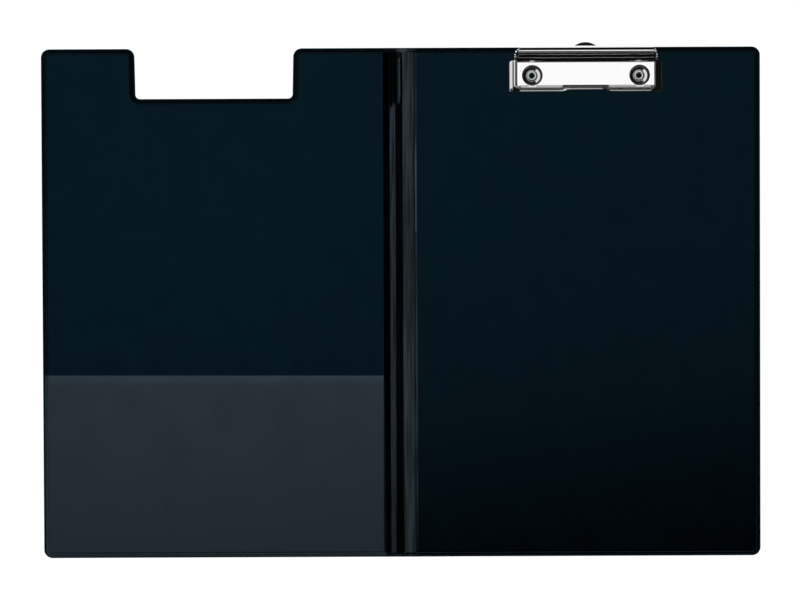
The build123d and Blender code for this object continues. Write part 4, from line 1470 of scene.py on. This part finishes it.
@finish("bright nickel")
def bright_finish(tree, shader, place, look):
    """Mirror-bright nickel plate of the jaw."""
    metal(tree, shader, place, look.bright, rough=look.bright_gloss, scratch=0.0004 * MM, spread=0.02)


@finish("spring wire")
def spring_finish(tree, shader, place, look):
    """Drawn spring wire."""
    metal(tree, shader, place, look.spring, rough=0.25, scratch=0.003 * MM, spread=0.1)


@finish("rivet nickel")
def rivet_finish(tree, shader, place, look):
    """Plated rivets, washers and rod."""
    metal(tree, shader, place, look.rivet, rough=0.14, scratch=0.001 * MM, spread=0.05)


@finish("base steel")
def base_finish(tree, shader, place, look):
    """Nickel plated steel of the clip base, dished round each rivet.

    The bump's height is the distance from the rivet's middle times the slope of the dish, out to the dish's
    rim, with a steeper slope in its outer part.
    """
    jaw = bpy.context.scene.folder_jaw
    dish, outer_from = 7.2 * MM, 5.5 * MM
    slope, more_slope = 0.30 / MM, 0.7 / MM
    shader.inputs["Metallic"].default_value = 1.0
    cloud = noise(tree, place, scale=220)
    tint(tree, shader, cloud, look.base, spread=0.06)
    roughen(tree, shader, cloud, 0.07, 0.12)
    x, y, _ = parts_of(tree, place)
    off = math_node(tree, "ABSOLUTE", math_node(tree, "SUBTRACT", x, X_CLIP))
    off = math_node(tree, "SUBTRACT", off, jaw.rivet_half)
    down = math_node(tree, "SUBTRACT", y, Y_TOP - jaw.rivet_y)
    square = math_node(tree, "ADD", product(tree, off, off), product(tree, down, down))
    away = math_node(tree, "MINIMUM", math_node(tree, "SQRT", square), dish)
    outer = math_node(tree, "MAXIMUM", math_node(tree, "SUBTRACT", away, outer_from), 0)
    height = math_node(tree, "ADD", product(tree, away, slope), product(tree, outer, more_slope))
    bump(tree, shader, height, depth=1 * MM)


@finish("tab plastic")
def tab_finish(tree, shader, place, look):
    """Moulded black plastic with a fine spark-eroded grain."""
    cloud = noise(tree, place, scale=300)
    tint(tree, shader, cloud, look.tab, spread=0.15)
    roughen(tree, shader, cloud, 0.36, 0.44)
    reflect(shader, 1.35)
    bump(tree, shader, noise(tree, place, scale=3500, detail=2), depth=0.008 * MM)


@finish("grey board")
def board_finish(tree, shader, place, look):
    """Grey board with a speckle of fibres."""
    fibres = noise(tree, place, scale=1800, detail=5, stretch=(1, 1, 4))
    tint(tree, shader, fibres, look.board, spread=0.35)
    roughen(tree, shader, fibres, 0.8, 0.95)
    bump(tree, shader, fibres, depth=0.05 * MM)


def make_room_light(studio):
    """World: white for the camera, and for all else a dark room with light overhead and on the left.

    Right and ahead are the x and y of a direction over its height. Each light is a product of smooth steps
    of them, or of the direction's own parts for the horizon. Where lights overlap the brightest one counts.
    """
    world = bpy.data.worlds.new("studio")
    bpy.context.scene.world = world
    world.use_nodes = True
    tree = world.node_tree
    tree.nodes.clear()
    output = tree.nodes.new("ShaderNodeOutputWorld")
    back = tree.nodes.new("ShaderNodeBackground")
    back.inputs["Color"].default_value = (1, 1, 1, 1)
    tree.links.new(back.outputs["Background"], output.inputs["Surface"])
    place = tree.nodes.new("ShaderNodeTexCoord")
    x, y, z = parts_of(tree, place.outputs["Generated"])
    least_rise, lean = 0.01, 0.12
    up = math_node(tree, "MAXIMUM", z, least_rise)
    right = math_node(tree, "DIVIDE", x, up)
    ahead = math_node(tree, "DIVIDE", y, up)
    shifted = math_node(tree, "SUBTRACT", ahead, product(tree, right, lean))
    panel = steps(
        tree,
        (shifted, -0.114, -0.044),
        (ahead, 0.62, 0.45),
        (right, 0.26, 0.15),
        (right, -0.26, -0.15),
        (right, 0.03, -0.04, 1.0, 1.15),
    )
    left = steps(tree, (right, -0.28, -0.36), (right, -0.86, -0.74), (ahead, -1.3, -0.6), (ahead, 3.0, 1.5))
    off = math_node(tree, "ABSOLUTE", right)
    strip = steps(tree, (ahead, -1.4, -1.5), (ahead, -2.0, -1.85), (off, 3.0, 1.5))
    horizon = steps(tree, (z, 0.09, 0.02), (y, -0.6, -0.3))
    level = product(tree, panel, studio.overhead)
    for light, share in ((left, studio.left), (strip, studio.strip), (horizon, studio.horizon)):
        level = math_node(tree, "MAXIMUM", level, product(tree, light, share))
    level = math_node(tree, "MAXIMUM", level, studio.low)
    level = product(tree, level, studio.room)
    camera = tree.nodes.new("ShaderNodeLightPath").outputs["Is Camera Ray"]
    level = math_node(tree, "MAXIMUM", level, camera)
    tree.links.new(level, back.inputs["Strength"])


def make_floor(studio):
    """Pale floor, white for the camera and in reflections, that keeps the shadow and is clear from below."""
    half = studio.floor_half
    corners = [(-half, -half), (half, -half), (half, half), (-half, half)]
    mesh = bpy.data.meshes.new("floor")
    mesh.from_pydata([(x, y, -studio.floor_gap) for x, y in corners], [], [(0, 1, 2, 3)])
    floor = bpy.data.objects.new("floor", mesh)
    bpy.context.scene.collection.objects.link(floor)
    material = bpy.data.materials.new("pale floor")
    tree, shader, _ = nodes_of(material)
    for name, value in (
        ("Base Color", (0.55, 0.55, 0.55, 1)),
        ("Roughness", 1.0),
        ("Specular IOR Level", 0.0),
        ("Emission Color", (1, 1, 1, 1)),
    ):
        shader.inputs[name].default_value = value
    path = tree.nodes.new("ShaderNodeLightPath")
    seen = math_node(tree, "ADD", path.outputs["Is Camera Ray"], path.outputs["Is Glossy Ray"])
    seen = math_node(tree, "ADD", seen, path.outputs["Is Transmission Ray"], clamp=True)
    glow = math_node(tree, "MULTIPLY", seen, studio.floor_glow)
    tree.links.new(glow, shader.inputs["Emission Strength"])
    clear = tree.nodes.new("ShaderNodeBsdfTransparent")
    below = tree.nodes.new("ShaderNodeMixShader")
    output = next(node for node in tree.nodes if node.type == "OUTPUT_MATERIAL")
    tree.links.new(tree.nodes.new("ShaderNodeNewGeometry").outputs["Backfacing"], below.inputs[0])
    tree.links.new(shader.outputs[0], below.inputs[1])
    tree.links.new(clear.outputs[0], below.inputs[2])
    tree.links.new(below.outputs[0], output.inputs["Surface"])
    mesh.materials.append(material)


def make_camera(studio):
    """Camera over the folder, looking down, at the photograph's angle."""
    data = bpy.data.cameras.new("camera")
    camera = bpy.data.objects.new("camera", data)
    bpy.context.scene.collection.objects.link(camera)
    place = Vector((studio.camera_x, studio.camera_y, studio.distance))
    target = Vector((studio.camera_x, studio.aim_y, 1.5 * MM))
    back = (place - target).normalized()
    up = Vector((math.sin(studio.roll), math.cos(studio.roll), 0))
    right = up.cross(back).normalized()
    up = back.cross(right)
    turn = Matrix((right, up, back)).transposed()
    camera.matrix_world = Matrix.Translation(place) @ turn.to_4x4()
    data.sensor_width = studio.sensor
    data.lens = studio.sensor * studio.distance / studio.view_width
    data.clip_start = 0.01
    data.clip_end = 50
    bpy.context.scene.camera = camera


class FOLDER_OT_stage(bpy.types.Operator):
    """Set up floor, light and camera"""

    bl_idname = "folder.stage"
    bl_label = "Studio"

    def execute(self, context):
        studio = context.scene.folder_studio
        make_room_light(studio)
        make_floor(studio)
        make_camera(studio)
        context.scene.view_settings.view_transform = "Standard"
        return {"FINISHED"}


OPERATORS = (
    FOLDER_OT_covers,
    FOLDER_OT_spine,
    FOLDER_OT_pocket,
    FOLDER_OT_jaw,
    FOLDER_OT_hardware,
    FOLDER_OT_springs,
    FOLDER_OT_tab,
    FOLDER_OT_stage,
)


class FOLDER_PT_pieces(bpy.types.Panel):
    """Lists the folder's pieces"""

    bl_idname = "FOLDER_PT_pieces"
    bl_label = "Clip Folder"
    bl_space_type = "VIEW_3D"
    bl_region_type = "UI"
    bl_category = "Clip Folder"

    def draw(self, context):
        for operator in OPERATORS:
            self.layout.operator(operator.bl_idname)
        for name in GROUPS:
            group = getattr(context.scene, name)
            box = self.layout.box()
            for prop in group.__annotations__:
                box.prop(group, prop)


def register():
    for group in GROUPS.values():
        bpy.utils.register_class(group)
    for name, group in GROUPS.items():
        setattr(bpy.types.Scene, name, PointerProperty(type=group))
    for operator in OPERATORS:
        bpy.utils.register_class(operator)
    bpy.utils.register_class(FOLDER_PT_pieces)


def unregister():
    bpy.utils.unregister_class(FOLDER_PT_pieces)
    for operator in reversed(OPERATORS):
        bpy.utils.unregister_class(operator)
    for name, group in GROUPS.items():
        delattr(bpy.types.Scene, name)
        bpy.utils.unregister_class(group)


def main():
    register()
    bpy.ops.folder.covers()
    bpy.ops.folder.spine()
    bpy.ops.folder.pocket()
    bpy.ops.folder.jaw()
    bpy.ops.folder.hardware()
    bpy.ops.folder.springs()
    bpy.ops.folder.tab()
    bpy.ops.folder.stage()


if __name__ == "__main__":
    main()
